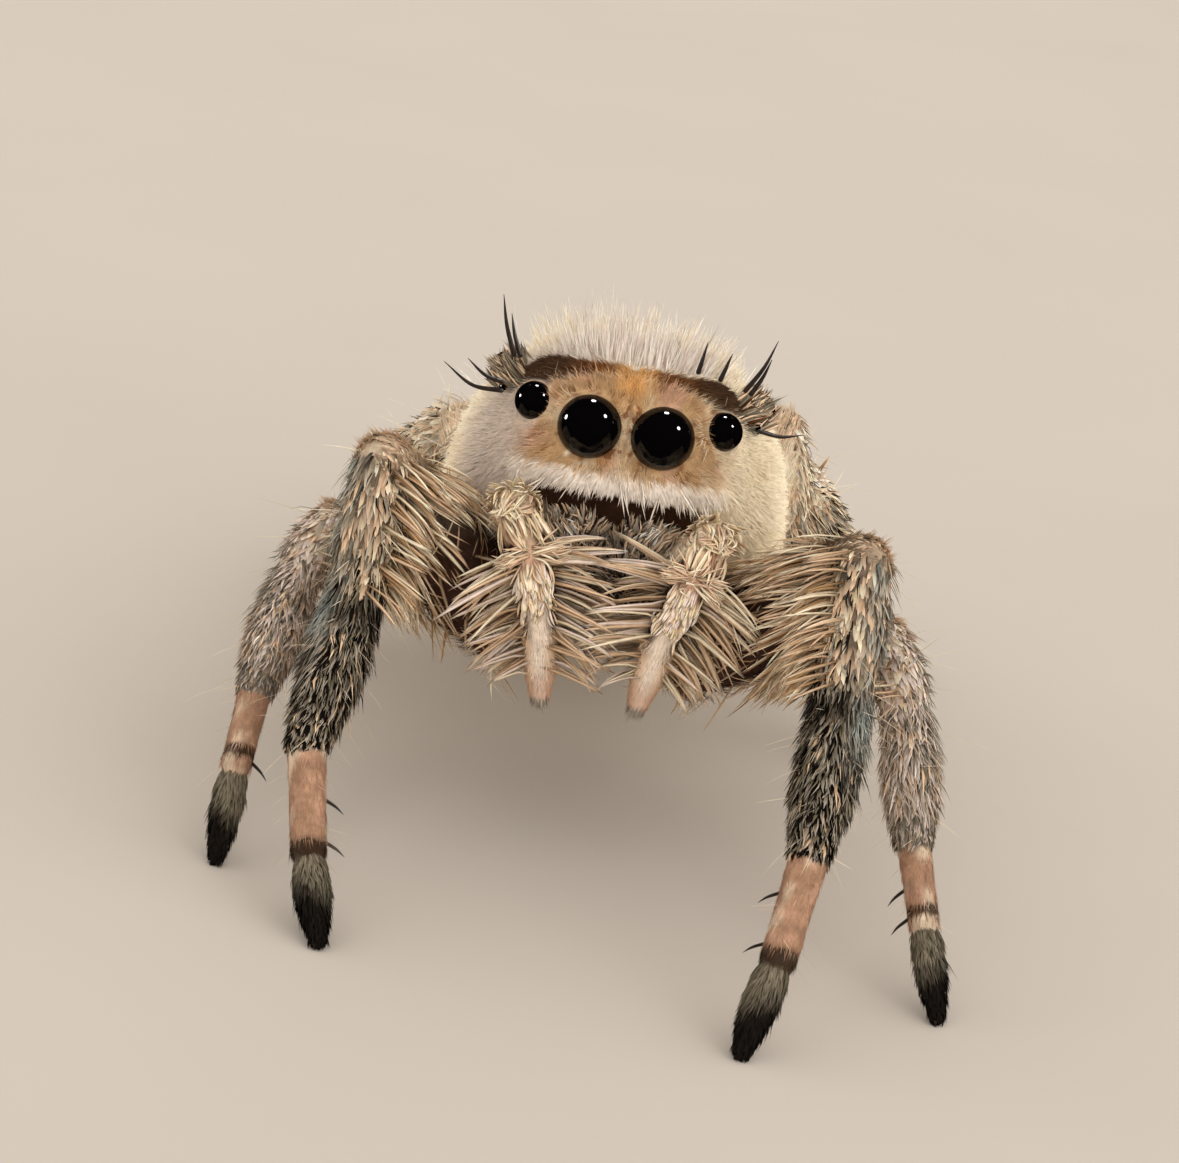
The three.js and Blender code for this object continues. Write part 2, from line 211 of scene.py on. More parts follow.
def pitched(points, degrees, origin):
    """Points turned nose up by some degrees about the side axis and moved to an origin."""
    lean = math.radians(degrees)
    side, back, up = np.moveaxis(np.asarray(points, float), -1, 0)
    turned = (side, back * math.cos(lean) + up * math.sin(lean), up * math.cos(lean) - back * math.sin(lean))
    return np.stack(turned, -1) + origin


def placed(side, back, up):
    """A point given in the front body's pitched frame."""
    return pitched((side, back, up), BODY_PITCH, (0, 0, EYE_HEIGHT))


def eye_middle():
    """Where the row frame has the point midway between the front middle eyes, in mm."""
    corners = [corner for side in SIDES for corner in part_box(f"eye_front_middle_{side}")]
    return np.mean([list(corner) for corner in corners], axis=0) * 1000


ORIGIN = eye_middle() - placed(0, *EYES["eye_front_middle"][1:3])


def to_row(points):
    """Millimetres from the point under the eyes to metres in the row frame."""
    return (np.asarray(points) + ORIGIN) * 0.001


# ---------------------------------------------------------------- shapes as functions of share and turn

class Shell:
    """A body part through rows of back, half width, top and bottom.

    Share runs from front to back and turn goes round it, from the left side over the top. Each ring
    is a superellipse: cosine and sine of the turn raised to 2 over the squareness.
    """

    SAMPLES = 200

    def __init__(self, rows, level, square, degrees, origin):
        self.rows, self.level, self.power = rows, level, 2 / square
        self.degrees, self.origin = degrees, np.asarray(origin, float)
        share = np.linspace(0, 1, self.SAMPLES)
        self.table = np.column_stack([share, smooth(rows, share)])

    def ring(self, share):
        """Back, half width, middle, top and bottom of a ring."""
        back, half, top, bottom = np.moveaxis(smooth(self.rows, share), -1, 0)
        return back, np.maximum(half, 0), bottom + (top - bottom) * self.level, top, bottom

    def centre(self, share):
        back, _, middle, _, _ = self.ring(share)
        return pitched(np.stack([back * 0, back, middle], -1), self.degrees, self.origin)

    def place(self, share, turn):
        back, half, middle, top, bottom = self.ring(share)
        across = np.sign(np.cos(turn)) * np.abs(np.cos(turn)) ** self.power
        rise = np.sign(np.sin(turn)) * np.abs(np.sin(turn)) ** self.power
        height = middle + np.where(rise > 0, top - middle, middle - bottom) * rise
        return pitched(np.stack([half * across, back, height], -1), self.degrees, self.origin)

    def local(self, points):
        return pitched(points - self.origin, -self.degrees, (0, 0, 0))

    def locate(self, points):
        """Share and turn of the ring point nearest to each point, and its depth: negative inside."""
        side, back, up = np.moveaxis(self.local(points), -1, 0)
        order = np.maximum.accumulate(self.table[:, 1])
        share = np.interp(back, order + np.arange(len(order)) * 1e-9, self.table[:, 0])
        _, half, middle, top, bottom = self.ring(share)
        tall = np.maximum(np.where(up > middle, top - middle, middle - bottom), 1e-3)
        half = np.maximum(half, 1e-3)
        power = 2 / self.power
        reach = (np.abs(side / half) ** power + np.abs((up - middle) / tall) ** power) ** (1 / power)
        beyond = np.maximum(order[0] - back, back - order[-1])
        depth = np.maximum((reach - 1) * np.minimum(half, tall), beyond)
        turn = np.arctan2(np.abs((up - middle) / tall) ** (1 / self.power) * np.sign(up - middle),
                          np.abs(side / half) ** (1 / self.power) * np.sign(side))
        return share, turn % (2 * np.pi), depth


class Limb:
    """A round limb through its joints, with rounded ends.

    Share runs from the upper end to the lower. Turn starts at the outer side and goes over the upper
    face of the limb. Each ring is a circle square to the path. At an end the radius is multiplied by
    the cosine of an angle that grows to 90 degrees, and the ring moves out with its sine.
    """

    CAP = 0.08              # share of the run that each rounded end takes
    CAP_REACH = 0.8         # how far it stands out, beside its radius
    SAMPLES = 33

    def __init__(self, joints, radii, across, side):
        self.joints, self.radii = np.asarray(joints, float), np.asarray(radii, float)
        self.across, self.side = np.asarray(across, float), side
        self.path = smooth(self.joints, np.linspace(0, 1, self.SAMPLES))
        self.girth = smooth(self.radii, np.linspace(0, 1, self.SAMPLES))[:, 0]

    def axes(self, run):
        """The ways along the path, across it and up from it, by small steps."""
        ahead = smooth(self.joints, np.minimum(run + 0.01, 1))
        behind = smooth(self.joints, np.maximum(run - 0.01, 0))
        along = unit(ahead - behind)
        wide = unit(self.across - (along @ self.across)[..., None] * along)
        return along, wide, self.side * np.cross(along, wide)

    def centre(self, share):
        return smooth(self.joints, np.clip((share - self.CAP) / (1 - 2 * self.CAP), 0.02, 0.98))

    def place(self, share, turn):
        run = np.clip((share - self.CAP) / (1 - 2 * self.CAP), 0, 1)
        start = np.clip(1 - share / self.CAP, 0, 1) * np.pi / 2
        end = np.clip((share - 1 + self.CAP) / self.CAP, 0, 1) * np.pi / 2
        along, wide, high = self.axes(run)
        radius = smooth(self.radii, run)
        bulge = (np.sin(end) - np.sin(start))[..., None] * radius * self.CAP_REACH
        radius = radius * np.cos(start + end)[..., None]
        spoke = wide * np.cos(turn)[..., None] + high * np.sin(turn)[..., None]
        return smooth(self.joints, run) + along * bulge + spoke * radius

    def locate(self, points):
        """Share and turn of each point by the nearest point of the path, and its depth: negative inside."""
        gaps = (points ** 2).sum(-1)[:, None] - 2 * points @ self.path.T + (self.path ** 2).sum(-1)
        away = np.sqrt(np.maximum(gaps, 0)) - self.girth
        nearest = away.argmin(-1)
        run = nearest / (self.SAMPLES - 1)
        _, wide, high = self.axes(run)
        spoke = points - self.path[nearest]
        turn = np.arctan2((spoke * high).sum(-1), (spoke * wide).sum(-1))
        return self.CAP + run * (1 - 2 * self.CAP), turn % (2 * np.pi), away.min(-1)


CROWN_STRETCH = (0.2, 0.9, 2.6, 4.0)    # mm back where the crown's depth begins, is full, fades, ends


def inset(rows, front, rest, full_at, crown=0.0):
    """Rows of a shell drawn in by the coat's depth, which grows from the front to a place behind it.

    The top is drawn in by the crown's depth as well, on a stretch behind the face.
    """
    rows = rows.copy()
    depth = front + (rest - front) * step(0, full_at, rows[:, 0])
    begins, full, fades, ends = CROWN_STRETCH
    rows[:, 2] -= crown * step(begins, full, rows[:, 0]) * step(ends, fades, rows[:, 0])
    rows[1:-1, 1] -= depth[1:-1]
    rows[1:-1, 2] -= depth[1:-1]
    rows[1:-1, 3] += depth[1:-1]
    rows[0, 0] += front
    rows[1, 0] += front
    rows[-1, 0] -= rest
    return rows


def mirrored(side, point):
    """A point of the left side, on the side that is asked for: 1 left, -1 right."""
    return np.array([side * point[0], point[1], point[2]], float)


def leg_joints(name):
    """A leg's joints from the coxa down to the foot.

    Coxa and hip are given. The others are worked out from the foot up, by each segment's length, lead
    and rise.
    """
    pose, side = LEG_POSES[name], SIDES[name[6:]]
    joints = [np.array([side * pose["foot"][0], pose["foot"][1], FOOT_LIFT])]
    for length, lead, rise in zip(LEG_LENGTHS[int(name[4]) - 1], pose["lead"], pose["rise"]):
        lead, rise = math.radians(lead), math.radians(rise)
        away = (-side * math.sin(lead) * math.cos(rise), math.cos(lead) * math.cos(rise), math.sin(rise))
        joints.insert(0, joints[0] + length * np.array(away))
    hip = mirrored(side, pose["hip"])
    return [hip * (COXA_START, 1, 1), hip] + joints


def leg_limbs(name):
    """The four segments of a leg. Neighbours share a joint, where their rounded ends overlap."""
    joints, side = leg_joints(name), SIDES[name[6:]]
    ahead = unit((joints[-1] - joints[2]) * (1, 1, 0))
    across = side * np.cross(UP, ahead)
    runs = {"femur": (0, 3), "tibia": (2, 5), "metatarsus": (4, 6), "tarsus": (5, 7)}
    scale = LEG_SCALE[int(name[4]) - 1]
    return {f"{name}_{segment}": Limb(joints[first:last], np.array(LEG_SKIN[segment]) * scale, across, side)
            for segment, (first, last) in runs.items()}


def palp_limbs(name):
    """The three segments of a palp, which share their joints in the same way."""
    side = SIDES[name[5:]]
    joints = [mirrored(side, joint) for joint in (PALP_ROOT,) + PALP_ROUTES[name]]
    runs = {"femur": (0, 2), "tibia": (1, 4), "tarsus": (3, 5)}
    return {f"{name}_{segment}": Limb(joints[first:last], PALP_SKIN[segment], (side, 0, 0), side)
            for segment, (first, last) in runs.items()}


def spinneret(side):
    """One of the two short tubes at the rear of the abdomen."""
    along = ABDOMEN[-1, 0] - SPINNERET["inset"]
    root = pitched((side * SPINNERET["side"], along, 0), ABDOMEN_PITCH, ABDOMEN_FRONT)
    root = root - (0, 0, SPINNERET["drop"])
    return Limb([root, root + (0, SPINNERET["length"], 0)], SPINNERET["girth"], (side, 0, 0), side)


def waist():
    """The narrow tube between front body and abdomen."""
    side, back, height = ABDOMEN_FRONT
    ends = [(side, back - WAIST["ahead"], height), (side, back + WAIST["behind"], height)]
    return Limb(ends, WAIST["girth"], (1, 0, 0), 1)


FRONT = Shell(inset(FRONT_BODY, FACE_COAT, HEAD_COAT, 1.6, CROWN_COAT), 0.3, 2.5, BODY_PITCH,
              (0, 0, EYE_HEIGHT))
REAR = Shell(inset(ABDOMEN, ABDOMEN_COAT, ABDOMEN_COAT, 0.5), 0.48, 2.1, ABDOMEN_PITCH, ABDOMEN_FRONT)
PARTS = {"front_body": FRONT, "abdomen": REAR, "waist": waist()}
PARTS.update({f"spinneret_{word}": spinneret(side) for word, side in SIDES.items()})
for palp in PALP_ROUTES:
    PARTS.update(palp_limbs(palp))
for leg in LEG_POSES:
    PARTS.update(leg_limbs(leg))


def eye_spots():
    """Every eye's name, centre, radius and line of sight."""
    for name, (across, back, up, radius, sight) in EYES.items():
        for word, side in SIDES.items():
            way = pitched((side * sight[0], sight[1], sight[2]), BODY_PITCH, (0, 0, 0))
            yield f"{name}_{word}", placed(side * across, back, up), radius, unit(way)


# ---------------------------------------------------------------- meshes

def surface(place, rings, sides):
    """A closed surface: rings of points between two poles, joined by quads and by a fan at each pole.

    place(share, turn) gives the points. Turn runs so that the faces look outwards or all inwards:
    facing_out turns them round where they look inwards.
    """
    share = np.linspace(0, 1, rings + 2)[1:-1]
    turn = np.arange(sides) / sides * 2 * np.pi
    grid = place(np.repeat(share, sides), np.tile(turn, rings))
    poles = place(np.array([0.0, 1.0]), np.array([0.0, 0.0]))
    points = np.vstack([grid, poles])
    around = np.arange(sides)
    ahead = (around + 1) % sides
    rows = np.arange(rings - 1)[:, None] * sides
    quads = np.stack([rows + around, rows + ahead, rows + sides + ahead, rows + sides + around], -1)
    last = (rings - 1) * sides
    first_pole, last_pole = rings * sides, rings * sides + 1
    fans = np.vstack([np.column_stack([ahead, around, around * 0 + first_pole]),
                      np.column_stack([last + around, last + ahead, around * 0 + last_pole])])
    return facing_out(points, [quads.reshape(-1, 4), fans])


def facing_out(points, faces):
    """Faces turned round if the volume that they close comes out negative."""
    quads, fans = faces
    split = np.vstack([quads[:, [0, 1, 2]], quads[:, [0, 2, 3]], fans])
    a, b, c = (points[split[:, k]] for k in range(3))
    volume = (np.cross(a, b) * c).sum()
    return points, ([quads[:, ::-1], fans[:, ::-1]] if volume < 0 else faces)


def merged(pieces):
    """Several lots of points and faces as one."""
    points, starts = [], [0]
    for piece_points, _ in pieces:
        points.append(piece_points)
        starts.append(starts[-1] + len(piece_points))
    quads, fans = (np.vstack([faces[kind] + start for (_, faces), start in zip(pieces, starts)])
                   for kind in (0, 1))
    return np.vstack(points), [quads, fans]


def fill_mesh(mesh, points, faces, rounded=None):
    """Puts points and faces into a mesh, whole arrays at a time. rounded tells which shade smoothly."""
    loops = np.concatenate([f.ravel() for f in faces]).astype(np.int32)
    totals = np.concatenate([np.full(len(f), f.shape[1], np.int32) for f in faces])
    starts = np.concatenate([[0], np.cumsum(totals)[:-1]]).astype(np.int32)
    mesh.vertices.add(len(points))
    mesh.vertices.foreach_set("co", np.asarray(points, np.float32).ravel())
    mesh.loops.add(len(loops))
    mesh.loops.foreach_set("vertex_index", loops)
    mesh.polygons.add(len(totals))
    mesh.polygons.foreach_set("loop_start", starts)
    mesh.polygons.foreach_set("use_smooth", np.ones(len(totals), bool) if rounded is None else rounded)
    mesh.update(calc_edges=True)
    return loops


def add_colours(mesh, colours):
    """The colour of each point, as the attribute that the materials read."""
    layer = mesh.attributes.new("Markings", "FLOAT_COLOR", "POINT")
    rgba = np.column_stack([colours, np.ones(len(colours))]).astype(np.float32)
    layer.data.foreach_set("color", rgba.ravel())


def make_piece(name, points, faces, material, slot, colours=None, patches=None, rounded=None):
    """An object at the origin that rides on the root body. Its place is in its mesh."""
    mesh = bpy.data.meshes.new(name)
    loops = fill_mesh(mesh, to_row(points), faces, rounded)
    if colours is not None:
        add_colours(mesh, colours)
    if patches is not None:
        layer = mesh.uv_layers.new(name="OFBake")
        layer.uv.foreach_set("vector", patches[loops].astype(np.float32).ravel())
    mesh.materials.append(material)
    piece = bpy.data.objects.new(name, mesh)
    bpy.context.scene.collection.objects.link(piece)
    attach(piece, "root")
    return piece


# ---------------------------------------------------------------- hair

# Powers of the painted shade of a hair in red, green and blue: light among pale hairs turns warmer as it
# fades, so the painted shade is warmer than the tint.
WARM_SHADE = (0.9, 1.05, 1.25)
SEAT = 0.015                # mm that a root sits in the skin
LIFT_SPREAD = 4             # degrees, from hair to hair
WIDTH_SPREAD = 0.15         # share, from hair to hair
RIDGE, FLATTENED = 1.4, 0.6  # the section's third corner: its rise in half widths, and how far pressed down
LONG_RINGS = 3              # a hair of more rings than this is a long, rounded bristle
PATCH = 0.003               # side of a hair's patch on a bake map 1 wide
CELLS = (110, 96)           # small cells that a part is cut into, along it and round it


def spots_on(part, share, turn):
    """Points of a part with their normals and the ways along and round it, by small steps."""
    reach = 2e-3
    point = part.place(share, turn)
    along = part.place(np.minimum(share + reach, 1), turn) - part.place(np.maximum(share - reach, 0), turn)
    around = part.place(share, turn + reach) - part.place(share, turn - reach)
    normal = unit(np.cross(around, along))
    outward = ((point - part.centre(share)) * normal).sum(-1, keepdims=True)
    normal = normal * np.where(outward < 0, -1, 1)
    local = part.local(point) if isinstance(part, Shell) else point
    return SimpleNamespace(part=part, share=share, turn=turn, point=point, normal=normal, local=local,
                           along=unit(along), around=unit(around))


def scatter(part, count, rng, where):
    """Spots spread over a part, denser where where(spots) is higher.

    The part is cut into small cells; each one's area times its weight gives its share of the spots,
    and evenly spaced picks along the running sum of those shares choose the cells.
    """
    rows, columns = CELLS
    row, column = (grid.ravel() for grid in np.mgrid[0:rows, 0:columns])
    corner = [part.place((row + i) / rows, (column + j) / columns * 2 * np.pi)
              for i, j in ((0, 0), (1, 0), (0, 1))]
    weight = np.linalg.norm(np.cross(corner[1] - corner[0], corner[2] - corner[0]), axis=-1)
    cells = spots_on(part, (row + 0.5) / rows, (column + 0.5) / columns * 2 * np.pi)
    weight = weight * np.clip(where(cells), 0, None)
    running = np.cumsum(weight)
    picks = np.searchsorted(running, (np.arange(count) + rng.random(count)) / count * running[-1])
    picks = np.minimum(picks, len(row) - 1)
    share = (row[picks] + rng.random(count)) / rows
    turn = (column[picks] + rng.random(count)) / columns * 2 * np.pi
    return spots_on(part, share, turn)


def only(spots, keep):
    """The spots that are to be kept."""
    kept = {key: value[keep] for key, value in vars(spots).items() if key != "part"}
    return SimpleNamespace(part=spots.part, **kept)


def clear_of_eyes(points, margin=0.0):
    """False where a point lies inside an eye, or within a margin of it."""
    keep = np.ones(points.shape[:-1], bool)
    for _, centre, radius, _ in eye_spots():
        keep &= np.linalg.norm(points - centre, axis=-1) >= radius + margin
    return keep


def clear_of_others(spots, margin=0.03):
    """False where a spot lies inside another part or an eye."""
    keep = clear_of_eyes(spots.point)
    for part in PARTS.values():
        if part is not spots.part:
            keep &= part.locate(spots.point)[2] > -margin
    return keep


def nearest(points, centres):
    """For each point, which centre is nearest, a few thousand points at a time."""
    found = []
    for block in np.array_split(points, max(1, len(points) // 2000)):
        gaps = (centres ** 2).sum(-1) - 2 * block @ centres.T
        found.append(gaps.argmin(-1))
    return np.concatenate(found)


def hair_solids(line, normal, half):
    """Tapered prisms along the lines of hairs, which end in a point.

    The section is a triangle, flat side down on long bristles and up on short hair. Its width is
    0.7 + 0.6 t times 1 - t to the power 2.2, so it is widest at a third of the way to the tip.
    """
    n, rings = len(line), line.shape[1] - 1
    t = np.linspace(0, 1, rings + 1)[None, :, None]
    tangent = unit(np.gradient(line, axis=1))
    across = unit(np.cross(tangent, normal[:, None] + 0.02))
    over = np.cross(across, tangent)
    profile = ((0.7 + 0.6 * t) * (1 - t ** 2.2))[:, :-1]
    side_up = 1 if rings > LONG_RINGS else -1
    corners = np.stack([across, -across, over * RIDGE * FLATTENED], 2)[:, :-1] * side_up
    ring = line[:, :-1, None] + corners * (half * profile)[:, :, None]
    return np.concatenate([ring.reshape(n, rings * 3, 3), line[:, -1:]], 1)


def hair_patches(spots, t, tile):
    """Each hair's patch of the bake map: its root's turn and share within the part's own tile."""
    x, y, wide, high = tile
    root = np.column_stack([spots.turn % (2 * np.pi) / (2 * np.pi), spots.share])
    root = np.array([x, y]) + root * (wide, high)
    spread = PATCH * np.array([-0.5, 0.5, 0.0])
    rise = PATCH * (t - 0.5)
    rings = len(t) - 1
    offset = np.vstack([np.column_stack([np.tile(spread, rings), np.repeat(rise[:-1], 3)]), [0.0, rise[-1]]])
    return np.clip(root[:, None] + offset, 0.001, 0.999)


def grow(part, count, seed, *, length, width, lift, tint, where=None, lie=None, sway=9.0, droop=0.0,
         lock=0, pull=0.6, close=1.4, rings=3, root_shade=0.6, tip_shade=1.1, vary=0.12, ragged=0.25,
         tile=(0, 0, 1, 1), eyes_clear=False):
    """One kind of hair on one part, in mm and degrees.

    A hair starts along the lie of the coat, raised by the first lift, and its direction turns evenly
    to the second lift and down by the droop, so its line is a parabola. Hairs of one lock lean to the
    line of the lock's middle hair, by pull times share of the length to the power of close. The tint
    carries painted shade: darker at the root, where the hairs shade each other, and lighter to the
    tip. Settings may be numbers or functions of the spots.
    """
    rng = np.random.default_rng(seed)
    spots = scatter(part, number(count), rng, where or (lambda s: np.ones(len(s.share))))
    spots = only(spots, clear_of_others(spots))
    n = len(spots.share)

    def value(setting):
        return np.broadcast_to(setting(spots) if callable(setting) else setting, (n,)).astype(float)

    way = lie(spots) if lie else spots.along
    way = unit(way - (way * spots.normal).sum(-1, keepdims=True) * spots.normal)
    turn = np.radians(rng.normal(0, 1, n) * value(sway))[:, None]
    way = way * np.cos(turn) + np.cross(spots.normal, way) * np.sin(turn)
    long = value(length) * np.exp(rng.normal(0, ragged, n))
    first, last = (np.radians(value(angle) + rng.normal(0, LIFT_SPREAD, n))[:, None] for angle in lift)
    start = way * np.cos(first) + spots.normal * np.sin(first)
    end = unit(way * np.cos(last) + spots.normal * np.sin(last) - UP * value(droop)[:, None])
    t = np.linspace(0, 1, rings + 1)[None, :, None]
    root = spots.point - spots.normal * SEAT
    line = root[:, None] + long[:, None, None] * (start[:, None] * t + (end - start)[:, None] * t ** 2 / 2)
    if lock:
        middles = rng.choice(n, max(1, n // lock), replace=False)
        leader = middles[nearest(spots.point, spots.point[middles])]
        line = line + pull * t ** close * (line[leader] - line)
    if eyes_clear:
        keep = clear_of_eyes(line[:, 1:], 0.01).all(-1)
        spots, line, n = only(spots, keep), line[keep], int(keep.sum())
    half = value(width)[:, None, None] / 2 * np.exp(rng.normal(0, WIDTH_SPREAD, (n, 1, 1)))
    colour = tint(spots, rng) * np.exp(rng.normal(0, vary, (n, 1)))
    # Painted shade along each hair: root_shade at the root, where the hairs shade each other, rising to
    # tip_shade at the tip.
    shade = root_shade + (tip_shade - root_shade) * t[..., 0] ** 0.7
    tones = np.clip(colour[:, None] * shade[..., None] ** WARM_SHADE, 0, 1) + np.zeros((n, 1, 1))
    tones = np.concatenate([np.repeat(tones[:, :-1], 3, 1), tones[:, -1:]], 1)
    return SimpleNamespace(points=hair_solids(line, spots.normal, half), tones=tones,
                           patches=hair_patches(spots, t[0, :, 0], tile), rings=rings)


def hair_faces(count, rings):
    """Faces of count hairs: a closed root, quads between the rings and three triangles at the tip."""
    per = 3 * rings + 1
    j = np.arange(3)
    ahead = (j + 1) % 3
    rows = (np.arange(rings - 1) * 3)[:, None]
    quads = np.stack([rows + j, rows + ahead, rows + 3 + ahead, rows + 3 + j], -1).reshape(-1, 4)
    last = 3 * (rings - 1)
    ends = np.vstack([[[0, 2, 1]], np.column_stack([last + j, last + ahead, j * 0 + 3 * rings])])
    starts = (np.arange(count) * per)[:, None, None]
    return [(quads + starts).reshape(-1, 4), (ends + starts).reshape(-1, 3)]


def make_coat(name, slot, tufts):
    """All the hair of one piece as one mesh. Long bristles shade as round ones and short hair as flat."""
    lots = [(tuft.points.reshape(-1, 3), hair_faces(len(tuft.points), tuft.rings)) for tuft in tufts]
    rounded = [np.full(len(faces[kind]), tuft.rings > LONG_RINGS)
               for kind in (0, 1) for (_, faces), tuft in zip(lots, tufts)]
    points, faces = merged(lots)
    colours = np.vstack([tuft.tones.reshape(-1, 3) for tuft in tufts])
    patches = np.vstack([tuft.patches.reshape(-1, 2) for tuft in tufts])
    finish = material_named("chitin_hair", setae)
    return make_piece(name, points, faces, finish, slot, colours, patches, np.concatenate(rounded))


# ---------------------------------------------------------------- colours and markings

PALETTE = {
    "cream": ("#F5E6CA", "body and head coat"),
    "pale": ("#FAF1E4", "whitest hairs, under the eyes"),
    "blush": ("#D0BFB0", "pinkish white of the right cheek"),
    "ivory": ("#E3D2B4", "yellowish white of the left cheek"),
    "mauve": ("#ECDACE", "pinkish white of the second legs"),
    "tan": ("#B8946B", "face between the eyes"),
    "orange": ("#C9955A", "stripe down the middle of the face"),
    "pink": ("#C99C83", "pink patches of the face and joints"),
    "brow": ("#46301E", "dark hairs over the side eyes"),
    "rust": ("#7D4B28", "middle of the brow and specks"),
    "straw": ("#F0DDB8", "tufts along the palps"),
    "beige": ("#DDBE9E", "fringes of the palps and thighs"),
    "peach": ("#DFC0A2", "locks over the knees"),
    "grey": ("#A69C8E", "grey hairs of the shins"),
    "slate": ("#B4BBB6", "bluish hairs of the shins"),
    "olive": ("#7A705E", "upper side of the feet"),
    "black": ("#1B1612", "shins and tips of the feet"),
    "flesh": ("#A78166", "bare skin of the slender segments"),
    # maroon is painted as shade in the hollow beside the palps and the first thighs, and is mixed into the
    # painted shade of the mouth; it is also the dark side of the palps' tibiae.
    "maroon": ("#48281F", "skin under the fringes"),
}


def tone(name):
    """A colour of the palette as it now stands in the panel."""
    return np.array(getattr(bpy.context.scene.spider_colours, name))


def choose(rng, count, **shares):
    """A colour for each hair, drawn from the named ones by their shares."""
    names = list(shares)
    odds = np.array([shares[name] for name in names], float)
    picks = rng.choice(len(names), count, p=odds / odds.sum())
    return np.array([tone(name) for name in names])[picks]


# Bands of the face, by how high a place shows over the front middle eyes from ahead and a bit above.
SIGHT_SLOPE = 0.14          # the line of sight drops this much for each mm behind the face
BROW = (0.64, 0.83)         # lower and upper edge of the brow in the middle
BROW_END = (0.5, 0.9)       # and over the side eyes
CLYPEUS = (-0.68, -0.46)    # white band between the eyes and the mouth
MOUTH_HALF = 1.15           # the painted shade of the mouth's gap reaches this far to either side


def face_height(local):
    """Height as it shows from ahead and a bit above, for the bands of the face."""
    return local[:, 2] + SIGHT_SLOPE * local[:, 1]


def brow_edges(local):
    """Lower and upper edge of the brow over each place."""
    out = step(0.45, 1.15, np.abs(local[:, 0]))
    return (middle + (end - middle) * out for middle, end in zip(BROW, BROW_END))


def wrap_weight(local):
    """1 on the outer side of the side eyes, where the brow turns down."""
    height, out = face_height(local), np.abs(local[:, 0])
    return step(1.42, 1.52, out) * step(1.95, 1.8, out) * step(0.25, 0.4, height) * step(0.86, 0.76, height)


def brow_weight(local):
    """1 on the brow: a band along the upper edge of the face, which wraps round the side eyes."""
    height, (low, high) = face_height(local), brow_edges(local)
    out = np.abs(local[:, 0])
    band = step(low - 0.04, low + 0.04, height) * step(high + 0.04, high - 0.03, height)
    return np.maximum(band * step(1.75, 1.6, out), wrap_weight(local)) * step(1.35, 1.15, local[:, 1])


def face_weight(local):
    """1 on the tan face between brow, cheeks and mouth."""
    height, (low, _) = face_height(local), brow_edges(local)
    side, back, up = np.moveaxis(local, -1, 0)
    inner = 1.0 + 0.35 * step(0.0, 0.5, up)
    ahead = step(low + 0.03, low - 0.03, height) * step(0.85, 0.55, back) * step(1.5, inner, np.abs(side))
    return ahead * step(CLYPEUS[1] - 0.1, CLYPEUS[1], up)


def clypeus_weight(local):
    """1 on the band of white hairs between the eyes and the mouth."""
    side, back, up = np.moveaxis(local, -1, 0)
    band = step(CLYPEUS[1], CLYPEUS[1] - 0.1, up) * step(CLYPEUS[0] - 0.06, CLYPEUS[0], up)
    return band * step(0.8, 0.45, back) * step(1.5, 1.2, np.abs(side))


def mouth_shade_weight(local):
    """1 on the hollow between the face and the jaws and on the skin below the jaws' roots, both darkened by
    painted shade.
    """
    side, back, up = np.moveaxis(local, -1, 0)
    edge = CLYPEUS[0] - 0.16 * np.abs(side / MOUTH_HALF) ** 3
    gap = step(edge, edge - 0.06, up) * step(MOUTH_HALF + 0.1, MOUTH_HALF - 0.1, np.abs(side))
    below = step(-1.5, -1.8, up) * step(1.9, 1.5, np.abs(side))
    return np.maximum(gap * step(1.7, 1.4, back), below * step(3.6, 2.8, back))


def crown_weight(local):
    """1 above the brow, on top of the head."""
    _, high = brow_edges(local)
    return step(high, high + 0.08, face_height(local)) * step(3.2, 2.0, local[:, 1])


def paint_front(s):
    """Cream, with cheeks of two whites, a tan and orange face, a white band under it and a dark brow."""
    side, back, up = np.moveaxis(s.local, -1, 0)
    height = face_height(s.local)
    cheek = blend(tone("blush"), tone("ivory"), step(-0.9, 0.5, side))
    coat = blend(tone("cream"), cheek, step(2.2, 1.0, back))
    coat = blend(coat, coat * (0.92, 0.88, 0.8), 0.5 * step(0, 1, mottle(s.local, 1.3, 4)))
    face = blend(tone("tan"), tone("pink"), 0.6 * step(0.1, 0.8, mottle(s.local, 0.55, 11)))
    face = blend(face, tone("ivory"), 0.5 * step(0.1, 0.9, mottle(s.local, 0.42, 12)))
    face = blend(face, face * (0.8, 0.72, 0.62), 0.8 * step(0.3, -0.4, up) * bump(0, 0.9, side))
    face = blend(face, tone("orange") * (1.35, 1.4, 1.4), bump(0.0, 0.32, side) * step(0.2, 0.5, height))
    face = blend(face, tone("ivory"), 0.5 * bump(0.0, 0.25, side) * step(0.4, 0.1, up))
    face = blend(face, tone("rust"), 0.4 * bump(0.02, 0.05, side) * step(-0.5, -0.2, up))
    face = blend(face, tone("rust"), 0.8 * step(0.62, 0.9, mottle(s.local, 0.19, 13)))
    # Painted shade: dark maroon in the hollow between palps and front legs.
    coat = blend(coat, tone("maroon") * 1.2, 0.85 * shaded_hollow_front(s))
    coat = blend(coat, tone("pale") * 0.92, 0.8 * crown_weight(s.local) * step(2.4, 1.2, back))
    coat = blend(coat, face, face_weight(s.local))
    coat = blend(coat, blend(tone("pale"), tone("blush"), 0.6), clypeus_weight(s.local))
    # Painted shade in the mouth's gap and under the front body.
    coat = blend(coat, blend(tone("brow"), tone("maroon"), 0.4) * 0.7, mouth_shade_weight(s.local))
    dark = blend(tone("orange") * 0.8, tone("rust") * 0.75, step(0.08, 0.3, np.abs(side)))
    dark = blend(dark, tone("brow"), step(0.3, 0.9, np.abs(side)))
    dark = blend(dark, tone("olive") * 0.7, wrap_weight(s.local) * step(0.75, 0.45, height))
    return blend(coat, dark, brow_weight(s.local))


